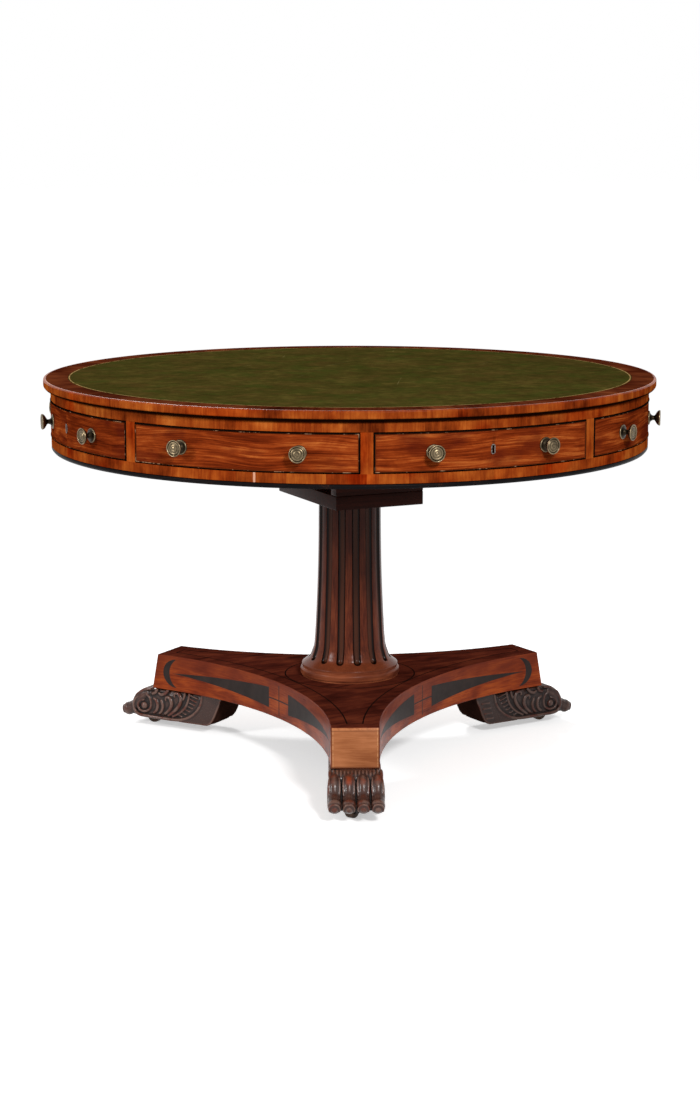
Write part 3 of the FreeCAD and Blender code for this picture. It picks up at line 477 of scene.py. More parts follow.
def carved_mahogany(name, polish, painted_shade=0):
    """Paws: worn red-brown high places, partly painted highlight, painted shade in the recesses, and an even
    painted shade over all as much as asked.
    """
    finish = Finish(name, polish)
    place = finish.place()
    hollow = finish.stored("hollow")
    recess_shade = finish.band(hollow, 0.05, 0.7)
    rubbed = finish.band(hollow, -0.15, -0.75)
    cloud = finish.noise(place, 46, 3)
    speck = finish.noise(place, 320, 3)
    across, up, _ = finish.split(finish.stored("knuckle", "Vector"))
    finish.colour = finish.mix((44, 27, 23), (74, 46, 37), cloud)
    finish.stain((112, 50, 32), rubbed * finish.band(cloud, 0.5, 0.62) * 0.5)
    # Pale grey on the high places: partly wear, partly painted highlight
    finish.stain((132, 98, 85), rubbed * finish.band(cloud, 0.62, 0.48) * 0.55)
    knuckle = across * finish.band(up + finish.noise(place, 150, 3, 0.6) * 0.8, 0.55, 1.2)
    finish.stain((130, 56, 32), knuckle * finish.band(cloud, 0.38, 0.62))
    # Painted shade in the recesses
    finish.stain((12, 8, 7), recess_shade * 0.9)
    # Even painted shade over the whole paw, as much as asked
    finish.stain((26, 18, 17), painted_shade)
    return finish.lay(0.15 + speck * 0.2 + recess_shade * 0.4, speck, 0.0003)


def metal(name, colour, dull, roughness):
    """Old metal: brightest where it is rubbed, dark where the mesh marks it: grooves, and painted shade on a
    knob's rose and neck.
    """
    finish = Finish(name, metallic=1)
    place = finish.place()
    cloud = finish.noise(place, 90, 4, 0.6)
    hollow = finish.stored("hollow")
    finish.colour = finish.mix(colour, dull, finish.band(cloud, 0.4, 0.66) * 0.7)
    # Dark in grooves, and painted shade on a knob's rose, neck and head underside
    finish.stain((16, 11, 8), hollow * 0.9)
    return finish.lay(roughness + cloud * 0.2 + hollow * 0.15, finish.noise(place, 900, 2), 0.00006, 0.4)


def lock_metal():
    """Locks: brass inside the drawer, a grey steel lining round the keyhole on its face."""
    finish = Finish("lock metal", metallic=1)
    _, _, radius = finish.round_axis()
    cloud = finish.noise(finish.place(), 300, 3)
    brass = finish.mix((110, 84, 48), (190, 156, 96), cloud)
    steel = finish.mix((70, 62, 56), (138, 132, 126), finish.band(cloud, 0.35, 0.65))
    finish.colour = finish.mix(brass, steel, finish.band(radius, DRUM_RADIUS - 0.004, DRUM_RADIUS - 0.003))
    # Painted shade inside the keyhole
    finish.stain(KEYHOLE_SHADE, keyhole_wall(finish, radius))
    return finish.lay(0.3 + cloud * 0.15)


DEAL_TONES = (112, 78, 48), (150, 110, 70)
VENEER = crossbanding("crossbanded mahogany", DULL, (84, 28, 7), (136, 58, 18), (166, 84, 29), (198, 118, 50))
POLISHED = crossbanding("polished rim", SATIN, (84, 28, 7), (130, 54, 18), (156, 76, 28), (186, 108, 48))
BAND = crossbanding("dark crossbanded mahogany", DULL,
                    (50, 17, 9), (82, 35, 18), (104, 51, 27), (130, 70, 38))
# A black finish for the rim's underside: painted shade
RIM_SHADE = ebonised("painted shade under the rim", DULL, 0, (20, 7, 3), (24, 9, 3))
FRONT = figured_front()
BEAD = black_bead()
EBONY = ebonised("ebonised wood", 0.025, 0.3, (12, 10, 11), (26, 22, 24))
INLAY = ebonised("black inlay", SATIN, 0.15, (34, 28, 27), (62, 53, 50))
STRINGS = ebonised("black string", DULL, 0, (22, 13, 10), (26, 15, 12))
LEATHER = green_leather()
OAK = plain_wood("bare oak", (140, 104, 66), (182, 146, 100), (1, 0.05, 1))
DEAL = plain_wood("aged deal", *DEAL_TONES, (0.05, 1, 1))
# The top board's edge under the rim is black with painted shade
TOP_DEAL = plain_wood("aged deal with painted shade at the rim", *DEAL_TONES, (0.05, 1, 1), DULL, shade_at_rim=True)
BOARD = plain_wood("dark mahogany", (34, 16, 12), (66, 32, 25), (0.05, 1, 1), SATIN, 0.36)
SHAFT = shaft_mahogany()
RING = platform_veneer("turned mahogany", POLISH, (92, 42, 26), (124, 64, 40), (152, 84, 54))
PLATFORM = platform_veneer("platform mahogany", SATIN, (94, 34, 19), (138, 57, 28), (176, 82, 36), darker_up)
# The leg tops: a darker copy of the platform mahogany, as painted shade from the drum above
SHADED_LEG_TOPS = platform_veneer("platform top mahogany in painted shade", DULL, (58, 22, 15), (90, 38, 26), (120, 56, 36),
                           right_leg_painted_shade)
PANEL = platform_veneer("light mahogany panel", POLISH,
                        (138, 78, 44), (159, 96, 58), (178, 112, 72), panel_edges)
CARVED = carved_mahogany("carved mahogany", 0.3)
# A copy of the carved finish in painted shade, for the paw on the darker side
SHADED_CARVED = carved_mahogany("carved mahogany in painted shade", 0.25, 0.45)
HEEL = carved_mahogany("dull heel", DULL)
BRASS = metal("aged brass", (134, 118, 92), (74, 63, 47), 0.22)
LOCK_BRASS = lock_metal()
CASTER_BRASS = metal("dark caster brass", (74, 58, 48), (30, 24, 22), 0.45)
IRON = metal("dark iron", (52, 48, 46), (26, 23, 22), 0.5)


# Making pieces


class Piece:
    """A piece of the table while its faces are laid."""

    def __init__(self):
        self.faces = bmesh.new()
        self.grain = self.faces.loops.layers.float_vector.new("grain")
        self.hollow = self.faces.verts.layers.float.new("hollow")

    def grid(self, rows, grains=None, hollows=None, finish=0, ends=False):
        """Lays faces between rows of points, and closes the first and last row if its ends are asked for."""
        verts = [[self.faces.verts.new(point) for point in row] for row in rows]
        if hollows:
            for row, depths in zip(verts, hollows):
                for vert, depth in zip(row, depths):
                    vert[self.hollow] = depth
        for i in range(len(rows) - 1):
            for j in range(len(rows[0]) - 1):
                corners = [(i, j), (i + 1, j), (i + 1, j + 1), (i, j + 1)]
                face = self.faces.faces.new([verts[a][b] for a, b in corners])
                face.material_index = finish
                if grains:
                    for loop, (a, b) in zip(face.loops, corners):
                        loop[self.grain] = grains[a][b]
        if ends:
            for row in (rows[0], rows[-1]):
                self.faces.faces.new([self.faces.verts.new(point) for point in row[:-1]])
        return self

    def done(self, name, finishes, *nodes, crease=35, weld=1e-6):
        bmesh.ops.remove_doubles(self.faces, verts=self.faces.verts, dist=weld)
        bmesh.ops.recalc_face_normals(self.faces, faces=self.faces.faces)
        mesh = bpy.data.meshes.new(name)
        self.faces.to_mesh(mesh)
        self.faces.free()
        mesh.shade_smooth()
        mesh.set_sharp_from_angle(angle=math.radians(crease))
        for finish in finishes if isinstance(finishes, list) else [finishes]:
            mesh.materials.append(finish)
        thing = bpy.data.objects.new(name, mesh)
        bpy.context.scene.collection.objects.link(thing)
        return seat(thing, *nodes) if nodes else thing


def seat(thing, *nodes):
    """Puts a piece in the place of its solids."""
    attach(thing, frame["nodes"][nodes[0]]["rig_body"])
    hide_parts(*nodes)
    return thing


def settle(thing):
    """Makes a piece's modifiers part of its mesh."""
    view = bpy.context.evaluated_depsgraph_get()
    view.update()
    made = bpy.data.meshes.new_from_object(thing.evaluated_get(view))
    thing.modifiers.clear()
    thing.data = made


def cut_away(thing, cutter):
    """Cuts the cutter's shape out of a piece and throws the cutter away."""
    trim = thing.modifiers.new("trim", "BOOLEAN")
    trim.object = cutter
    trim.solver = "EXACT"
    trim.use_self = True
    settle(thing)
    bpy.data.objects.remove(cutter)


def rounded(corners, steps=4, closed=True):
    """The points of an outline whose corners may carry a rounding: (x, y) or (x, y, radius)."""
    points = []
    for index, corner in enumerate(corners):
        here = Vector(corner[:2])
        free_end = not closed and index in (0, len(corners) - 1)
        if len(corner) < 3 or free_end:
            points.append(here)
            continue
        before = (Vector(corners[index - 1][:2]) - here).normalized()
        after = (Vector(corners[(index + 1) % len(corners)][:2]) - here).normalized()
        half = before.angle(after) / 2
        centre = here + (before + after).normalized() * corner[2] / math.sin(half)
        first = here + before * corner[2] / math.tan(half) - centre
        last = here + after * corner[2] / math.tan(half) - centre
        sweep = math.atan2(first.x * last.y - first.y * last.x, first.dot(last))
        for step in range(steps + 1):
            points.append(centre + Matrix.Rotation(sweep * step / steps, 2) @ first)
    return points + [points[0]] if closed else points


def on_drum(angle, radius, height):
    return Vector((radius * math.cos(angle), radius * math.sin(angle), height))


def turned(piece, profile, steps=480, grain_radius=0.1, finish=0):
    """Sweeps a line of (radius, height) points round the table's axis."""
    lengths = [0]
    for first, last in zip(profile, profile[1:]):
        lengths.append(lengths[-1] + (Vector(last) - Vector(first)).length)
    rows, grains = [], []
    for step in range(steps + 1):
        angle = 2 * math.pi * step / steps
        rows.append([on_drum(angle, radius, height) for radius, height in profile])
        grains.append([Vector((angle * grain_radius, length, 0)) for length in lengths])
    return piece.grid(rows, grains, finish=finish)


def curved_block(piece, low, high, middle, span, steps):
    """A block between two (radius, height) corners that follows part of the drum's curve."""
    section = [low, (high[0], low[1]), high, (low[0], high[1]), low]
    turns = [middle + (step / steps - 1 / 2) * span for step in range(steps + 1)]
    return piece.grid([[on_drum(turn, *point) for point in section] for turn in turns], ends=True)


# Top, rails, moulding and the column's ring: each outline of (radius, height) turned round the axis
RIM_INNER = RIM_RADIUS - 0.005
RIM_BACK = RIM_RADIUS - 0.012
SHEET_UNDER = TOP_FACE - 0.002
LEATHER_EDGE = LEATHER_RADIUS - 0.0004
BOLT_GROOVE = DRUM_RADIUS - 0.019
GROOVE_TOP = OPENING_TOP + 0.008
EASED = 0.0006
RING_INNER = 0.035
RING_FOOT = RING_RADIUS - 0.0022
RING_NECK = RING_RADIUS - 0.004
TURNED_PIECES = [
    ("veneered_band", BAND, "top_crossbanding", [
        (LEATHER_RADIUS, SHEET_UNDER), (LEATHER_RADIUS, TOP_FACE, EASED / 2), (RIM_INNER, TOP_FACE),
        (RIM_INNER, SHEET_UNDER)]),
    ("top_rail", VENEER, "frieze_top_rail", [
        (RAIL_INNER, RIM_UNDER), (DRUM_RADIUS, RIM_UNDER), (DRUM_RADIUS, OPENING_TOP, EASED),
        (BOLT_GROOVE, OPENING_TOP), (BOLT_GROOVE, GROOVE_TOP), (RAIL_INNER, GROOVE_TOP)]),
    ("bottom_rail", VENEER, "frieze_bottom_rail", [
        (RAIL_INNER, RAIL_BASE), (DRUM_RADIUS, RAIL_BASE, EASED), (DRUM_RADIUS, OPENING_BASE, EASED),
        (RAIL_INNER, OPENING_BASE)]),
    ("black_moulding", EBONY, "base_moulding", [
        (RAIL_INNER, MOULDING_BASE), (DRUM_RADIUS - 0.003, MOULDING_BASE, 0.0012),
        (DRUM_RADIUS, MOULDING_BASE + 0.0036, 0.0026), (DRUM_RADIUS, MOULDING_BASE + 0.0064, 0.0022),
        (DRUM_RADIUS - 0.0026, RAIL_BASE), (RAIL_INNER, RAIL_BASE)]),
]
for name, finish, node, corners in TURNED_PIECES:
    turned(Piece(), rounded(corners)).done(name, finish, node)

leather_line = rounded([(0, TOP_FACE), (LEATHER_EDGE, TOP_FACE, 0.0004), (LEATHER_EDGE, SHEET_UNDER)],
                       closed=False)
turned(Piece(), leather_line).done("leather_top", LEATHER, "leather_inset")

ring_line = rounded([
    (RING_INNER, PLATFORM_TOP), (RING_FOOT, PLATFORM_TOP), (RING_FOOT, PLATFORM_TOP + 0.003, EASED),
    (RING_RADIUS, PLATFORM_TOP + 0.0034, 0.0022), (RING_RADIUS, PLATFORM_TOP + 0.0158, 0.005),
    (RING_NECK, PLATFORM_TOP + 0.0172), (RING_NECK, PLATFORM_TOP + 0.02, EASED),
    (RING_NECK + EASED, RING_TOP, EASED), (RING_INNER, RING_TOP)], steps=6)
turned(Piece(), ring_line, 240, RING_RADIUS).done("turned_ring", RING, "column_ring")

# The rim's upper round is polished, its face plain and its underside black as painted shade
rim_line = rounded([(RIM_INNER, TOP_FACE), (RIM_RADIUS, TOP_FACE, 0.0034), (RIM_RADIUS, RIM_UNDER, 0.0055),
                    (RIM_BACK, RIM_UNDER), (RIM_BACK, TOP_FACE - 0.003)], steps=6)
rim = Piece()
for finish, stretch in ((2, rim_line[:7]), (0, rim_line[6:11]), (1, rim_line[10:])):
    turned(rim, stretch, finish=finish)
rim.done("rounded_rim", [VENEER, RIM_SHADE, POLISHED], "edge_crossbanding")

stiles = Piece()
for bay in range(8):
    curved_block(stiles, (RAIL_INNER, OPENING_BASE), (DRUM_RADIUS, OPENING_TOP),
                 BAY * (bay + 1 / 2), STILE_SPAN, 8)
stiles.done("stiles", VENEER, "frieze_stiles")


# Fronts with their cockbeads and knobs
FRONT_SPAN = BAY - STILE_SPAN - 2 * FRONT_GAP / DRUM_RADIUS
FIELD_SPAN = FRONT_SPAN - 2 * BEAD_WIDTH / DRUM_RADIUS
FRONT_BASE = OPENING_BASE + FRONT_GAP
FRONT_TOP = OPENING_TOP - FRONT_GAP
FRONT_MIDDLE = (FRONT_BASE + FRONT_TOP) / 2
FRONT_STEPS = 48


def lay_front(piece, middle):
    rebate = DRUM_RADIUS + BEAD_PROUD - BEAD_DEPTH
    curved_block(piece, (FRONT_INNER, FRONT_BASE + BEAD_WIDTH), (DRUM_RADIUS, FRONT_TOP - BEAD_WIDTH), middle,
                 FIELD_SPAN, FRONT_STEPS)
    curved_block(piece, (FRONT_INNER, FRONT_BASE), (rebate, FRONT_TOP), middle, FRONT_SPAN, FRONT_STEPS)


def lay_cockbead(piece, middle):
    """A half-round bead in a loop round the front."""
    nose = [(0, BEAD_PROUD - BEAD_DEPTH)]
    for step in range(9):
        turn = math.pi * step / 8
        nose.append((BEAD_WIDTH * (1 - math.cos(turn)) / 2, BEAD_PROUD * (1.5 * math.sin(turn) - 0.5)))
    nose += [(BEAD_WIDTH, BEAD_PROUD - BEAD_DEPTH), nose[0]]
    half_width, half_height = FRONT_SPAN * DRUM_RADIUS / 2, (FRONT_TOP - FRONT_BASE) / 2
    along = [-1 + 2 * step / FRONT_STEPS for step in range(FRONT_STEPS + 1)]
    stations = [(share, 1) for share in along] + [(-share, -1) for share in along] + [(-1, 1)]
    rows = []
    for across, up in stations:
        rows.append([on_drum(middle + across * (half_width - inset) / DRUM_RADIUS, DRUM_RADIUS + proud,
                             FRONT_MIDDLE + up * (half_height - inset)) for inset, proud in nose])
    grains = [[Vector((inset / BEAD_WIDTH, proud, 0)) for inset, proud in nose]] * len(rows)
    piece.grid(rows, grains)


# The line of a turned knob: (radius, reach, how dark it is: grooves in its face, and painted shade on the
# rose, the neck and under the head)
KNOB_LINE = [
    (0, 0, 1), (0.0135, 0, 0.6), (0.0137, 0.0008, 0.2), (0.0133, 0.002, 0.1), (0.0124, 0.0027, 0.6),
    (0.0108, 0.0029, 1), (0.0088, 0.0034, 1), (0.0068, 0.0047, 1), (0.0052, 0.0068, 1), (0.0043, 0.0098, 1),
    (0.0046, 0.0116, 1), (0.0068, 0.0132, 0.7), (0.0096, 0.0148, 0.4), (0.0122, 0.0166, 0.3),
    (0.0139, 0.0184, 0.5), (0.0147, 0.0199, 0.2), (0.015, 0.021, 0), (0.015, 0.0219, 0),
    (0.0145, 0.0227, 0), (0.0137, 0.0229, 0), (0.013, 0.0224, 0.3), (0.0126, 0.0216, 0.9),
    (0.012, 0.0212, 1), (0.0113, 0.0216, 0.5), (0.0106, 0.0222, 0.15), (0.0097, 0.0224, 0.15),
    (0.0088, 0.0221, 0.45), (0.008, 0.0217, 0.7), (0.0072, 0.0217, 0.6), (0.0064, 0.0221, 0.25),
    (0.0055, 0.0226, 0.1), (0.0045, 0.0229, 0.1), (0.0036, 0.0224, 0.5), (0.003, 0.0222, 0.6),
    (0.002, 0.0228, 0.1), (0, 0.023, 0)]


def lay_knob(piece, angle):
    out, side = on_drum(angle, 1, 0), on_drum(angle + math.pi / 2, 1, 0)
    foot = on_drum(angle, DRUM_RADIUS, FRONT_MIDDLE)
    rows = []
    for step in range(41):
        turn = 2 * math.pi * step / 40
        spoke = side * math.cos(turn) + Vector((0, 0, math.sin(turn)))
        rows.append([foot + out * reach + spoke * radius for radius, reach, _ in KNOB_LINE])
    piece.grid(rows, hollows=[[wax for _, _, wax in KNOB_LINE]] * len(rows))


def lay_bay(name, middles, front, bead, knobs):
    fields, beads, pulls = Piece(), Piece(), Piece()
    for middle in middles:
        lay_front(fields, middle)
        lay_cockbead(beads, middle)
        lay_knob(pulls, middle - KNOB_TURN)
        lay_knob(pulls, middle + KNOB_TURN)
    made = fields.done(name + "_field", FRONT, front)
    beads.done(name + "_bead", BEAD, bead)
    pulls.done(name + "_pulls", BRASS, knobs, crease=60)
    return made


def keyhole_way(middle):
    """An upright slot with a round head through a front."""
    out, side = on_drum(middle, 1, 0), on_drum(middle + math.pi / 2, 1, 0)
    line = [(-KEYHOLE, -3.6 * KEYHOLE), (KEYHOLE, -3.6 * KEYHOLE)]
    line += [(KEYHOLE * math.cos(math.pi * step / 10), KEYHOLE * (2.6 + math.sin(math.pi * step / 10)))
             for step in range(11)]
    rows = [[out * reach + side * across + Vector((0, 0, FRONT_MIDDLE + up))
             for across, up in line + line[:1]]
            for reach in (RAIL_INNER, DRUM_RADIUS + 0.01)]
    return Piece().grid(rows, ends=True).done("keyhole_way", FRONT)


lay_bay("dummy", [BAY * (2 * corner + 1) - math.pi / 2 for corner in range(4)],
        "dummy_fronts", "dummy_cockbeads", "dummy_knobs")
for drawer in range(1, 5):
    name = f"drawer_{drawer}"
    turn = math.pi / 2 * (drawer - 2)
    cut_away(lay_bay(name, [turn], name + "_front", name + "_cockbead", name + "_knobs"), keyhole_way(turn))


# Pivot board and bearers
BEARER_THICKNESS = 0.025
BORE_RADIUS = 0.0151


def ease(faces, edges):
    """Rounds sharp edges a little."""
    bmesh.ops.bevel(faces, geom=edges, offset=0.0016, segments=3, profile=0.5, affect="EDGES")


def eased_board(name, boxes, node):
    piece = Piece()
    for low, high in boxes:
        made = bmesh.ops.create_cube(piece.faces, size=1)
        for vert in made["verts"]:
            vert.co = Vector([(low[i] + high[i]) / 2 + vert.co[i] * (high[i] - low[i]) for i in range(3)])
    ease(piece.faces, piece.faces.edges[:])
    return piece.done(name, BOARD, node)


low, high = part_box("bearers")
eased_board("eased_bearers", [(low, Vector((high.x, low.y + BEARER_THICKNESS, high.z))),
                              (Vector((low.x, high.y - BEARER_THICKNESS, low.z)), high)], "bearers")
board = eased_board("eased_board", [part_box("pivot_board")], "pivot_board")
bore = turned(Piece(), [(0, 0), (BORE_RADIUS, 0), (BORE_RADIUS, 1), (0, 1)], 64)
cut_away(board, bore.done("bore", BOARD))

# Column: the shaft is laid as a grid whose lines follow the flutes' edges
SHAFT_LINE = [(0.1816, 0.0956), (0.183, 0.0952), (0.189, 0.0872), (0.195, 0.0801), (0.206, 0.0756),
              (0.218, 0.072), (0.234, 0.0702), (0.251, 0.069), (0.3, 0.0664), (0.365, 0.0637),
              (0.4295, 0.0623), (0.494, 0.0617), (0.5117, 0.0616)]
FLUTES = 14
FLUTE_TURN = math.radians(24.4)
FLUTE_HALF = 0.0076
FLUTE_DEPTH = 0.0052
FLUTE_END = 0.1918
FLUTE_END_REACH = 0.005
SCOOP_DEPTH = 0.0022
SCOOP_MIDDLE = 0.2
SCOOP_REACH = 0.025
LIP = 0.0008
LIP_SINK = 0.00018


def shaft_radius(height):
    """Smooth through the turned line's points."""
    points = SHAFT_LINE
    index = max(i for i in range(len(points) - 1) if points[i][0] <= height + 1e-9)
    (z0, r0), (z1, r1) = points[index], points[index + 1]
    before = points[max(index - 1, 0)]
    after = points[min(index + 2, len(points) - 1)]
    slope0 = (r1 - before[1]) / (z1 - before[0])
    slope1 = (after[1] - r0) / (after[0] - z0)
    step = z1 - z0
    t = (height - z0) / step
    return ((2 * t**3 - 3 * t**2 + 1) * r0 + (t**3 - 2 * t**2 + t) * step * slope0
            + (3 * t**2 - 2 * t**3) * r1 + (t**3 - t**2) * step * slope1)


def flute_stations(radius, share, depth):
    """Points over one flute and the land after it: (turn, how deep, how much painted shade)."""
    half = max(FLUTE_HALF * share, 0.00002)
    stations = []
    for step in range(15):
        across = math.pi * step / 14
        hollow = math.sin(across)
        stations.append((-math.cos(across) * half / radius, depth * hollow, hollow * share))
    for end in (0, -1):
        stations[end] = (stations[end][0], LIP_SINK * share, 0)
    lip = (half + min(half, LIP)) / radius
    land = 2 * math.pi / FLUTES - 2 * lip
    return stations + [(lip + land * step / 6, 0, 0) for step in range(7)]


def lay_shaft(piece):
    heights = [SHAFT_LINE[0][0] + 0.0009 * step for step in range(11)]
    heights += [FLUTE_END + 0.00035 * (step - 1) for step in range(30)]
    heights += [0.2025 + 0.002 * step for step in range(24)]
    heights += [0.2515 + 0.0093 * step for step in range(28)] + [COLUMN_TOP]
    rows, hollows = [], []
    travel, before = 0, None
    for height in heights:
        radius = shaft_radius(height)
        if height > FLUTE_END:
            travel += math.hypot(height - before[0], radius - before[1])
        before = height, radius
        share, end_share = (math.sqrt(1 - max(0, 1 - travel / reach)**2)
                            for reach in (FLUTE_HALF, FLUTE_END_REACH))
        scoop = SCOOP_DEPTH * max(0, 1 - abs(height - SCOOP_MIDDLE) / SCOOP_REACH)
        stations = flute_stations(radius, share, (FLUTE_DEPTH + scoop) * end_share)
        row = [on_drum(FLUTE_TURN + flute * 2 * math.pi / FLUTES + offset, radius - sink, height)
               for flute in range(FLUTES) for offset, sink, _ in stations]
        rows.append(row + row[:1])
        hollows.append([dark for _, _, dark in stations] * FLUTES + [stations[0][2]])
    rows = [[Vector((0, 0, heights[0]))] * len(rows[0]), *rows, [Vector((0, 0, COLUMN_TOP))] * len(rows[0])]
    return piece.grid(rows, hollows=[hollows[0], *hollows, hollows[-1]])


lay_shaft(Piece()).done("fluted_shaft", SHAFT, "column", crease=50)


# Platform: three hollow sides between raked leg ends, with ebony let in
SIDE_TURN = math.radians(60)


def side_point(leg, curve, turn, height):
    """A point of the hollow side that follows a leg, turn from the side's middle."""
    across = Vector((SIDE_CENTRE - curve * math.cos(turn), curve * math.sin(turn), height))
    return Matrix.Rotation(LEG_TURNS[leg] + SIDE_TURN, 3, "Z") @ across


def plan_loop(curve, reach, height, steps=48):
    """The platform's outline, with sides of that curve between leg ends at that reach."""
    half = math.acos((SIDE_CENTRE / 2 - reach) / curve) - SIDE_TURN
    return [side_point(leg, curve, half * (2 * step / steps - 1), height)
            for leg in range(3) for step in range(steps + 1)]


def lay_platform():
    piece = Piece()
    faces = piece.faces
    top = [faces.verts.new(point) for point in plan_loop(SIDE_CURVE, LEG_REACH, PLATFORM_TOP)]
    base = [faces.verts.new(point) for point in plan_loop(SIDE_CURVE, LEG_REACH + LEG_RAKE, PLATFORM_BASE)]
    faces.faces.new(top)
    faces.faces.new(base)
    for index in range(len(top)):
        faces.faces.new([top[index - 1], base[index - 1], base[index], top[index]])
    bmesh.ops.recalc_face_normals(faces, faces=faces.faces)
    ends = [edge for edge in faces.edges if edge.is_manifold and edge.calc_face_angle() > 0.6]
    ease(faces, ends)
    faces.normal_update()
    for face in faces.faces:
        lay_grain(piece, face)
    return piece


def lay_grain(piece, face):
    """Tells a face which finish it has and how its veneer lies: top, leg end or hollow side."""
    middle = face.calc_center_median()
    angle = math.atan2(middle.y, middle.x)

    def nearest(offset):
        return min(range(3), key=lambda k: abs(math.remainder(angle - LEG_TURNS[k] - offset, 2 * math.pi)))

    leg = nearest(0)
    turn = LEG_TURNS[leg]
    level = abs(face.normal.z) > 0.8
    if level:
        face.material_index = 2
        mark = leg
    elif (Matrix.Rotation(-turn, 3, "Z") @ face.normal).x > 0.8:
        face.material_index = 1
        mark = leg + 5
    else:
        side = nearest(SIDE_TURN)
        turn = LEG_TURNS[side] + SIDE_TURN
        mark = side + 9
    for loop in face.loops:
        point = Matrix.Rotation(-turn, 3, "Z") @ loop.vert.co
        loop[piece.grain] = Vector((point.x, point.y, mark) if level else (point.y, point.z, mark))


lay_platform().done("veneered_platform", [PLATFORM, PANEL, SHADED_LEG_TOPS], "platform")

PROUD = 0.00015
INLAY_LEVEL = (PLATFORM_BASE + PLATFORM_TOP) / 2
CRESCENT_PLACE = LEG_REACH * math.cos(math.radians(30)) - 0.0644
CRESCENT_RADIUS = 0.03
CRESCENT_HOLLOW = 0.036
SPEAR_START = 0.038
SPEAR_LENGTH = CRESCENT_PLACE + 0.01 - SPEAR_START
SPEAR_HALF = 0.021
STRING = 0.0026
STRING_RADIUS = 0.1294
STRING_CURVE = SIDE_CURVE + 0.03
STRING_REACH = LEG_REACH - 0.026


def lay_side_figures(piece, leg):
    """Two crescents, two spears and a cross, just proud of a hollow side."""
    def lay(rows):
        piece.grid([[side_point(leg, SIDE_CURVE - PROUD, math.asin(across / SIDE_CURVE), INLAY_LEVEL + up)
                     for across, up in row] for row in rows])

    hollow_place = CRESCENT_PLACE - math.sqrt(CRESCENT_HOLLOW**2 - CRESCENT_RADIUS**2)
    hollow_turn = math.asin(CRESCENT_RADIUS / CRESCENT_HOLLOW)
    arcs = ((CRESCENT_PLACE, CRESCENT_RADIUS, math.pi / 2), (hollow_place, CRESCENT_HOLLOW, hollow_turn))
    for sign in (-1, 1):
        lay([[(sign * (place + radius * math.cos(turn * share)), radius * math.sin(turn * share))
              for place, radius, turn in arcs] for share in (step / 16 - 1 for step in range(33))])
        lay([[(sign * (SPEAR_START + SPEAR_LENGTH * share), up * SPEAR_HALF * (1 - share)) for up in (-1, 1)]
             for share in (step / 24 for step in range(25))])
    half = STRING / 2
    lay([[(SPEAR_START * (step / 8 - 1), up) for up in (-half, half)] for step in range(17)])
    lay([[(across, up) for up in (-CRESCENT_RADIUS, CRESCENT_RADIUS)] for across in (-half, half)])


figures = Piece()
for leg in range(3):
    lay_side_figures(figures, leg)
figures.done("black_figures", INLAY, "platform_inlays")

face_level = PLATFORM_TOP + PROUD
string_edges = [(STRING_RADIUS + side * STRING / 2, face_level) for side in (-1, 1)]
strings = turned(Piece(), string_edges, 160)
loops = [plan_loop(STRING_CURVE + inset, STRING_REACH - inset, face_level) for inset in (0, STRING)]
strings.grid([list(pair) for pair in zip(*(loop + loop[:1] for loop in loops))])
strings.done("black_strings", STRINGS, "platform_stringing")


# Paw feet: toes, leaves and ribs are laid as overlapping shapes, made one skin and softened
def smooth_line(points, steps=6):
    """A smooth line through rows of numbers."""
    rows = [Vector(point) for point in points]
    line = []
    for index in range(len(rows) - 1):
        before, first, last, after = (rows[max(index - 1, 0)], rows[index], rows[index + 1],
                                      rows[min(index + 2, len(rows) - 1)])
        for step in range(steps):
            t = step / steps
            line.append((2 * first + (last - before) * t + (2 * before - 5 * first + 4 * last - after) * t**2
                         + (3 * first - before - 3 * last + after) * t**3) / 2)
    return line + [rows[-1]]


def lay_rib(piece, points, flat=1, sides=12):
    """A round rib with closed ends along a smooth line of (x, y, z, radius) points."""
    stations = smooth_line(points)
    line, sizes = [station.to_3d() for station in stations], [station[3] for station in stations]
    rows = []
    for index, here in enumerate(line):
        ahead = line[min(index + 1, len(line) - 1)] - line[max(index - 1, 0)]
        ahead.normalize()
        across = ahead.cross(Vector((0, 1, 0)))
        across = across.normalized() if across.length > 1e-6 else Vector((0, 0, 1))
        out = across.cross(ahead)
        rows.append([here + (across * math.cos(turn) + out * math.sin(turn) * flat) * sizes[index]
                     for turn in (2 * math.pi * side / sides for side in range(sides + 1))])
    first, last = (line[end] + (line[end] - line[inner]).normalized() * sizes[end] * 0.8
                   for end, inner in ((0, 1), (-1, -2)))
    piece.grid([[first] * (sides + 1), *rows, [last] * (sides + 1)])


def lay_ball(piece, centre, radius, squash=(1, 1, 1)):
    made = bmesh.ops.create_uvsphere(piece.faces, u_segments=20, v_segments=12, radius=radius)
    for vert in made["verts"]:
        vert.co = Vector(centre) + Vector([vert.co[i] * squash[i] for i in range(3)])


def metres(sizes):
    """A table of millimetres in metres."""
    return sizes / 1000 if isinstance(sizes, (int, float)) else [metres(size) for size in sizes]


# Tables of the paw, in millimetres. Stations of its core: (out from the axis, underside, top, half width)
PAW_CORE = metres([(274, 80, 85.3, 43), (279, 68, 85.3, 43.2), (285, 54.5, 85.3, 43.4),
                   (290.5, 42, 85.3, 43.6), (296.5, 30, 85.3, 43.8), (304, 21.5, 85.3, 43.8),
                   (311, 19, 85.3, 43.8), (360, 18.8, 85.3, 43.8), (420, 18.8, 85.3, 44.2),
                   (445, 19, 85.6, 44.8), (456, 19, 84.6, 45.2), (464, 19.2, 79, 45.5),
                   (472, 19.5, 69, 45.5), (485, 20.5, 50, 45), (496, 22, 38, 44.5), (504, 24, 33, 44)])
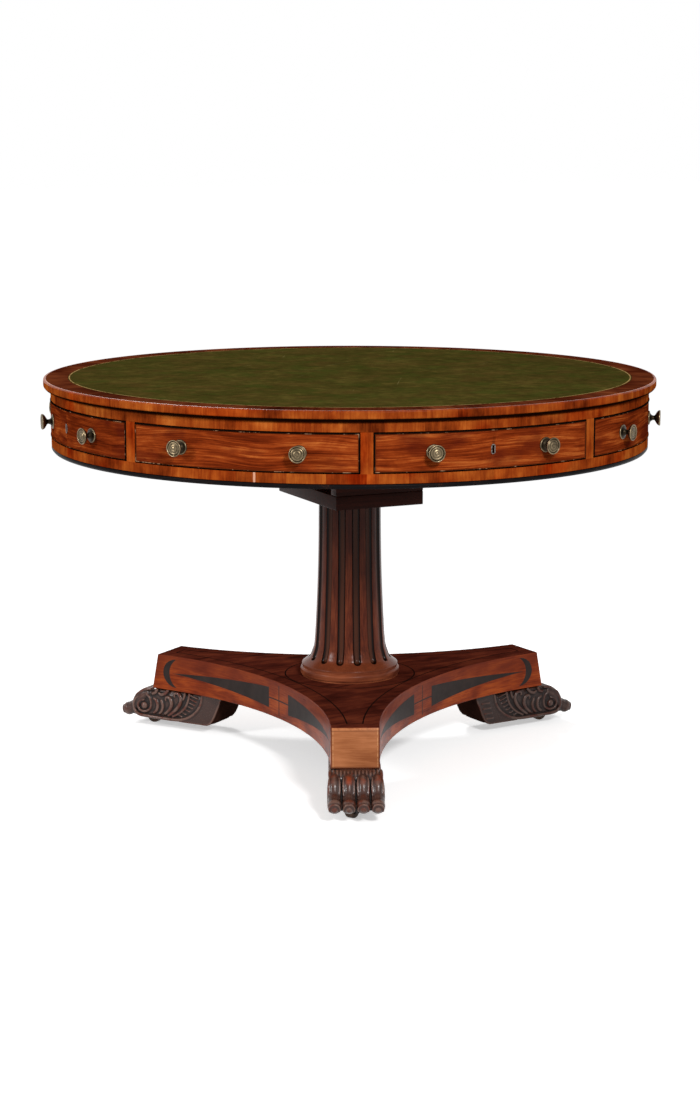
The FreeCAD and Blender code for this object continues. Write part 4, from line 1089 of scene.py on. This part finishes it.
# The plain side of the heel, as (out, up) corners
HEEL_PANEL = metres([(274.5, 84.5), (280, 68), (286, 54.5), (291.5, 42), (297.5, 30.5), (304.5, 22.5),
                     (311, 20), (380, 20), (364, 24.5), (347, 34.5), (332, 49), (322.5, 66), (318.5, 84.5)])
# A toe, as (out, up, radius)
TOE_LINE = metres([(456, 73.5, 9), (465, 70, 11.6), (473.5, 63.2, 12.8), (479.5, 55, 12.2),
                   (484.2, 48.5, 11.8), (489, 43.6, 12), (496.2, 38.5, 12.6), (503, 34.5, 13.2)])
# The ridge beside a toe, as (out, aside, up, radius)
TOE_RIDGE = metres([(469.2, 8, 77.3, 1.8), (480, 9.2, 69.2, 2.5), (486.2, 9.2, 59.6, 2.6),
                    (490.3, 8.8, 51.6, 2.4), (493.5, 8.6, 47.1, 2.1), (499.8, 8.8, 44.4, 1.6)])
# Half of a toe's cuticle, as (out, aside, up)
CUTICLE = metres([(513.4, 8.3, 25), (515.2, 9.6, 29.8), (517.7, 7, 36.8), (518.7, 0, 39.5)])
# A leaf of the fringe over the toes, and the ribs and leaves on a side, as smooth lines of (out, up, radius)
FRINGE_LEAF = metres([(447, 82.6, 2.8), (456, 82.2, 3.2), (464, 79.6, 3.4), (469, 74.2, 3), (470.5, 70, 2)])
SIDE_RIBS = metres([
    [(469, 66.5, 2.6), (480, 62, 3.2), (487, 52, 3.4), (488, 40, 3.4), (483, 30, 3.4), (472, 25.2, 3.4),
     (450, 23.4, 3.4), (420, 22.8, 3.4), (390, 23, 3.4), (370, 26.2, 3.6), (352, 34, 3.6), (337, 46, 3.6),
     (326.2, 62, 3.6), (321, 83.5, 3.4)],
    [(460, 72.5, 2.4), (451, 64, 3), (448, 52, 3.2), (451, 40, 3), (462, 33.5, 2.8), (474, 36.5, 2.6),
     (478.5, 46.5, 2.4), (473.5, 56, 2.2), (464, 58, 2)],
    [(442, 32, 2.8), (434, 39.5, 3.8), (431.5, 50, 4), (435.5, 60, 3.6), (442, 63, 2.6)],
    [(428, 32, 2.8), (421, 40, 3.4), (419, 51, 3.6), (423, 61, 3.2)],
    [(414, 33, 3), (402, 44, 4.2), (397, 56, 4.6), (401, 67, 4), (410, 69, 3), (412, 62, 2.4)],
    [(406, 30, 2.6), (390, 42, 4), (378, 56, 4.4), (374, 69, 4), (380, 79, 3.4), (389, 79, 2.6),
     (390, 72, 2.2)],
    [(396, 29, 2.2), (378, 39, 2.8), (364, 52, 3), (356, 68, 3), (353, 83.5, 2.6)],
    [(406, 84, 3), (412, 77, 3.6), (422, 73, 3.4), (429, 76, 2.6)],
    [(433, 83, 3), (437, 76, 3.4), (445, 73, 3)],
    [(364, 83, 2.4), (366, 75, 2.8), (369, 68, 2.2)]])
# Short straight ribs, as (near end, far end, up)
SIDE_BARBS = metres([(334, 350, 76.5), (337, 352, 69), (341, 355.5, 61.5), (347, 360, 54), (354, 366, 46.5),
                     (363, 374, 39.5), (373, 383, 33.5)])
HEEL_RIBS = metres([(303, 319, 33), (298, 316, 44), (294, 313, 55), (291, 310, 66)])
HEEL_SIDE = 0.046
CASTER_OUT = 0.455


def side_face(out):
    """Where the ribs of a side lie, wider where the outer toe begins."""
    return 0.0446 + 0.0046 * max(0, min(1, (out - 0.445) / 0.03))


def lay_core(piece):
    rows = []
    for out, low, high, half in PAW_CORE:
        middle, tall = (low + high) / 2, (high - low) / 2
        row = []
        for step in range(33):
            turn = 2 * math.pi * step / 32
            across, up = math.cos(turn), math.sin(turn)
            stretch = (abs(across)**6 + abs(up)**6) ** (-1 / 6)
            row.append(Vector((out, half * across * stretch, middle + tall * up * stretch)))
        rows.append(row)
    piece.grid(rows, ends=True)


def lay_toe(piece, across):
    lay_rib(piece, [(out, across, up, size) for out, up, size in TOE_LINE], 0.96, 18)
    lay_ball(piece, (0.5065, across, 0.0332), 0.0138, (1, 0.95, 1))
    lay_ball(piece, (0.5136, across, 0.0304), 0.0078)
    right = [(out, across - side, up, 0.0018) for out, side, up in CUTICLE]
    left = [(out, across + side, up, 0.0018) for out, side, up in CUTICLE[-2::-1]]
    lay_rib(piece, right + left)
    for sign in (-1, 1):
        lay_rib(piece, [(out, across + sign * side, up, size) for out, side, up, size in TOE_RIDGE])


def lay_paw_sides(piece):
    for sign in (-1, 1):
        corners = [*HEEL_PANEL, HEEL_PANEL[0]]
        piece.grid([[Vector((out, sign * across, up)) for out, up in corners] for across in (0.04, 0.0462)],
                   ends=True)
        for rib in SIDE_RIBS:
            lay_rib(piece, [(out, sign * side_face(out), up, size) for out, up, size in rib], 0.95)
        lay_ball(piece, (0.4635, sign * side_face(0.4635), 0.0462), 0.0074, (1, 0.62, 1))
        for near, far, up in SIDE_BARBS:
            lay_rib(piece, [(near, sign * side_face(near), up - 0.002, 0.0016),
                            (far, sign * side_face(far), up + 0.003, 0.0016)], 0.95)
    for near, far, up in HEEL_RIBS:
        lay_rib(piece, [(near, -HEEL_SIDE, up, 0.0024), (far, -HEEL_SIDE, up, 0.0024)], 0.7)


def carve_paw():
    """The paw as it lies towards X, hollowed for its caster."""
    core = Piece()
    lay_core(core)
    solid = core.done("paw_core", CARVED)
    for radius, top in ((0.0312, 0.0484), (0.0075, 0.081)):
        hollow = Piece()
        made = bmesh.ops.create_cone(hollow.faces, cap_ends=True, segments=64, radius1=radius, radius2=radius,
                                     depth=top + 0.02)
        for vert in made["verts"]:
            vert.co += Vector((CASTER_OUT, 0, (top - 0.02) / 2))
        cut_away(solid, hollow.done("paw_hollow", CARVED))
    carving = Piece()
    carving.faces.from_mesh(solid.data)
    bpy.data.objects.remove(solid)
    for toe in range(4):
        lay_toe(carving, (toe - 1.5) * TOE_PITCH)
    for leaf in range(15):
        lay_rib(carving, [(out, 0.0067 * (leaf - 7), up, size) for out, up, size in FRINGE_LEAF], 1, 10)
    lay_paw_sides(carving)
    skin = carving.done("paw_1", CARVED, weld=1e-7)
    remesh = skin.modifiers.new("skin", "REMESH")
    remesh.mode = "VOXEL"
    remesh.voxel_size = 0.001
    soften = skin.modifiers.new("soften", "SMOOTH")
    soften.factor = 0.5
    soften.iterations = 2
    settle(skin)
    skin.data.shade_smooth()
    mark_hollows(skin.data, 26)
    mark_knuckles(skin.data)
    skin.data.materials.append(HEEL)
    for face in skin.data.polygons:
        if face.normal.x < -0.3 and face.center.x < 0.308:
            face.material_index = 1
    return skin


def mark_knuckles(mesh):
    """Stores where a knuckle's top is rubbed red: x over its breadth, y over its height."""
    marks = mesh.attributes.new("knuckle", "FLOAT_VECTOR", "POINT")
    for vert, mark in zip(mesh.vertices, marks.data):
        out, across, up = vert.co
        side = abs(math.remainder(across / TOE_PITCH - 0.5, 1)) * TOE_PITCH
        if out > 0.462:
            mark.vector = (max(0, 1 - (side / 0.0075)**2), max(0, 1 - abs(up - 0.0735) / 0.0105), 0)


def mark_hollows(mesh, rounds):
    """Stores how far each point lies under the softened surface, in millimetres."""
    count = len(mesh.vertices)
    points = numpy.empty(count * 3)
    mesh.vertices.foreach_get("co", points)
    points = points.reshape(-1, 3)
    normals = numpy.empty(count * 3)
    mesh.vertex_normals.foreach_get("vector", normals)
    pairs = numpy.empty(len(mesh.edges) * 2, dtype=int)
    mesh.edges.foreach_get("vertices", pairs)
    first, second = pairs.reshape(-1, 2).T
    share = 1 / numpy.bincount(pairs, minlength=count)
    soft = points
    for _ in range(rounds):
        sums = [numpy.bincount(first, line[second], count) + numpy.bincount(second, line[first], count)
                for line in soft.T]
        soft = numpy.stack([line * share for line in sums], axis=1)
    depth = ((soft - points) * normals.reshape(-1, 3)).sum(axis=1) * 1000
    marks = mesh.attributes.get("hollow") or mesh.attributes.new("hollow", "FLOAT", "POINT")
    marks.data.foreach_set("value", depth)


paw = carve_paw()
for leg, turn in enumerate(LEG_TURNS):
    foot = paw
    if leg:
        foot = bpy.data.objects.new(f"paw_{leg + 1}", paw.data)
        bpy.context.scene.collection.objects.link(foot)
    foot.matrix_world = Matrix.Rotation(turn, 4, "Z")
    seat(foot, f"paw_foot_{leg + 1}")
    # The right paw takes the copy in painted shade
    if leg == 1:
        foot.material_slots[0].link = "OBJECT"
        foot.material_slots[0].material = SHADED_CARVED


# Casters: turned wheels in the forks of the solids, each half a mirror of the other
WHEEL_HALF = metres([(2.6, 9), (7, 9), (8.5, 8.4), (12.8, 8.4), (14.6, 8), (15.7, 6.6), (16, 4)])
WHEEL_LINE = [(radius, -along) for radius, along in WHEEL_HALF] + WHEEL_HALF[::-1]
for joint in frame["joints"]:
    if joint["name"].endswith("_roll"):
        caster = joint["name"].removesuffix("_roll")
        hub, axis = Vector(joint["pos_m"]), Vector(joint["axis"])
        spoke = axis.cross(Vector((0, 0, 1)))
        rays = [Matrix.Rotation(2 * math.pi * step / 48, 3, axis) @ spoke for step in range(49)]
        rows = [[hub + ray * radius + axis * along for radius, along in WHEEL_LINE] for ray in rays]
        Piece().grid(rows).done(caster + "_tread", CASTER_BRASS, caster + "_wheel")

# Finishes of the solids that show as they are
KEPT = {"oak": DEAL, "lock_brass": LOCK_BRASS, "iron": IRON, "caster_brass": CASTER_BRASS,
        "dark_mahogany": BOARD}
for name, node in frame["nodes"].items():
    if node.hide_render:
        continue
    finish = KEPT[SLOTS[name]]
    if name == "top_board":
        finish = TOP_DEAL
    elif name.endswith("_box"):
        finish = OAK
    node.data.materials.clear()
    node.data.materials.append(finish)


# Studio: white floor and world, soft lamps, and a camera at the picture's angle
WHITE = (1, 1, 1, 1)
FLOOR_REACH = 40
FLOOR_WHITE = (0.97, 0.97, 0.97, 1)
FLOOR_GREY = (0.4, 0.4, 0.4, 1)
FLOOR_GLOW = 0.46
FAR_GLOW = 1.02
NEAR_FLOOR = 0.8
FAR_FLOOR = 1.9
SKY_GLOW = 0.42
LAMPS = [("key_lamp", (-0.5, -3.95, 2.6), 0.7, 125), ("fill_lamp", (-3.9, -0.2, 1.8), 0.7, 60),
         ("back_lamp", (0.5, 3.0, 2.8), 0.9, 60)]
LAMPS_AIM = Vector((0, 0, 0.4))
CAMERA_PLACE = (-1.93678, -4.07903, 1.2383)
CAMERA_DOWN = 10.353
CAMERA_TURN = -25.405
CAMERA_LENS = 75.915


def studio_floor():
    """White to the eye with soft shadows, darker to the light that would bounce up from it."""
    finish = Finish("studio floor")
    _, _, radius = finish.round_axis()
    pale = finish.node("BsdfDiffuse", {}, {"Color": FLOOR_WHITE})
    glow = finish.node("Emission", {}, {"Color": WHITE, "Strength": FLOOR_GLOW})
    near = finish.node("AddShader", {}, {0: pale, 1: glow})
    far = finish.node("Emission", {}, {"Color": WHITE, "Strength": FAR_GLOW})
    shown = finish.node("MixShader", {}, {0: finish.band(radius, NEAR_FLOOR, FAR_FLOOR), 1: near, 2: far})
    quiet = finish.node("BsdfDiffuse", {}, {"Color": FLOOR_GREY})
    mixed = finish.node("MixShader", {}, {0: finish.seen(), 1: quiet, 2: shown})
    finish.feed(finish.tree.nodes["Material Output"].inputs["Surface"], mixed)
    finish.tree.nodes.remove(finish.surface)
    return finish.material


ends = (-FLOOR_REACH, FLOOR_REACH)
ground = Piece().grid([[Vector((x, y, 0)) for x in ends] for y in ends]).done("studio_floor", studio_floor())

world = bpy.data.worlds.new("studio")
world.use_nodes = True
bpy.context.scene.world = world
sky = Nodes(world.node_tree)
light = world.node_tree.nodes["Background"]
sky.feed(light.inputs["Color"], WHITE)
sky.feed(light.inputs["Strength"], SKY_GLOW + sky.seen() * (1 - SKY_GLOW))

for name, place, size, watts in LAMPS:
    lamp = bpy.data.lights.new(name, "AREA")
    lamp.shape = "DISK"
    lamp.size = size
    lamp.energy = watts
    thing = bpy.data.objects.new(name, lamp)
    thing.location = place
    thing.rotation_euler = (LAMPS_AIM - Vector(place)).to_track_quat("-Z", "Y").to_euler()
    bpy.context.scene.collection.objects.link(thing)

eye = bpy.data.cameras.new("picture_camera")
eye.lens = CAMERA_LENS
eye.sensor_width = 36
camera = bpy.data.objects.new("picture_camera", eye)
camera.location = CAMERA_PLACE
camera.rotation_euler = (math.radians(90 - CAMERA_DOWN), 0, math.radians(CAMERA_TURN))
bpy.context.scene.collection.objects.link(camera)
bpy.context.scene.camera = camera
bpy.context.scene.view_settings.view_transform = "Standard"

bpy.context.view_layer.update()
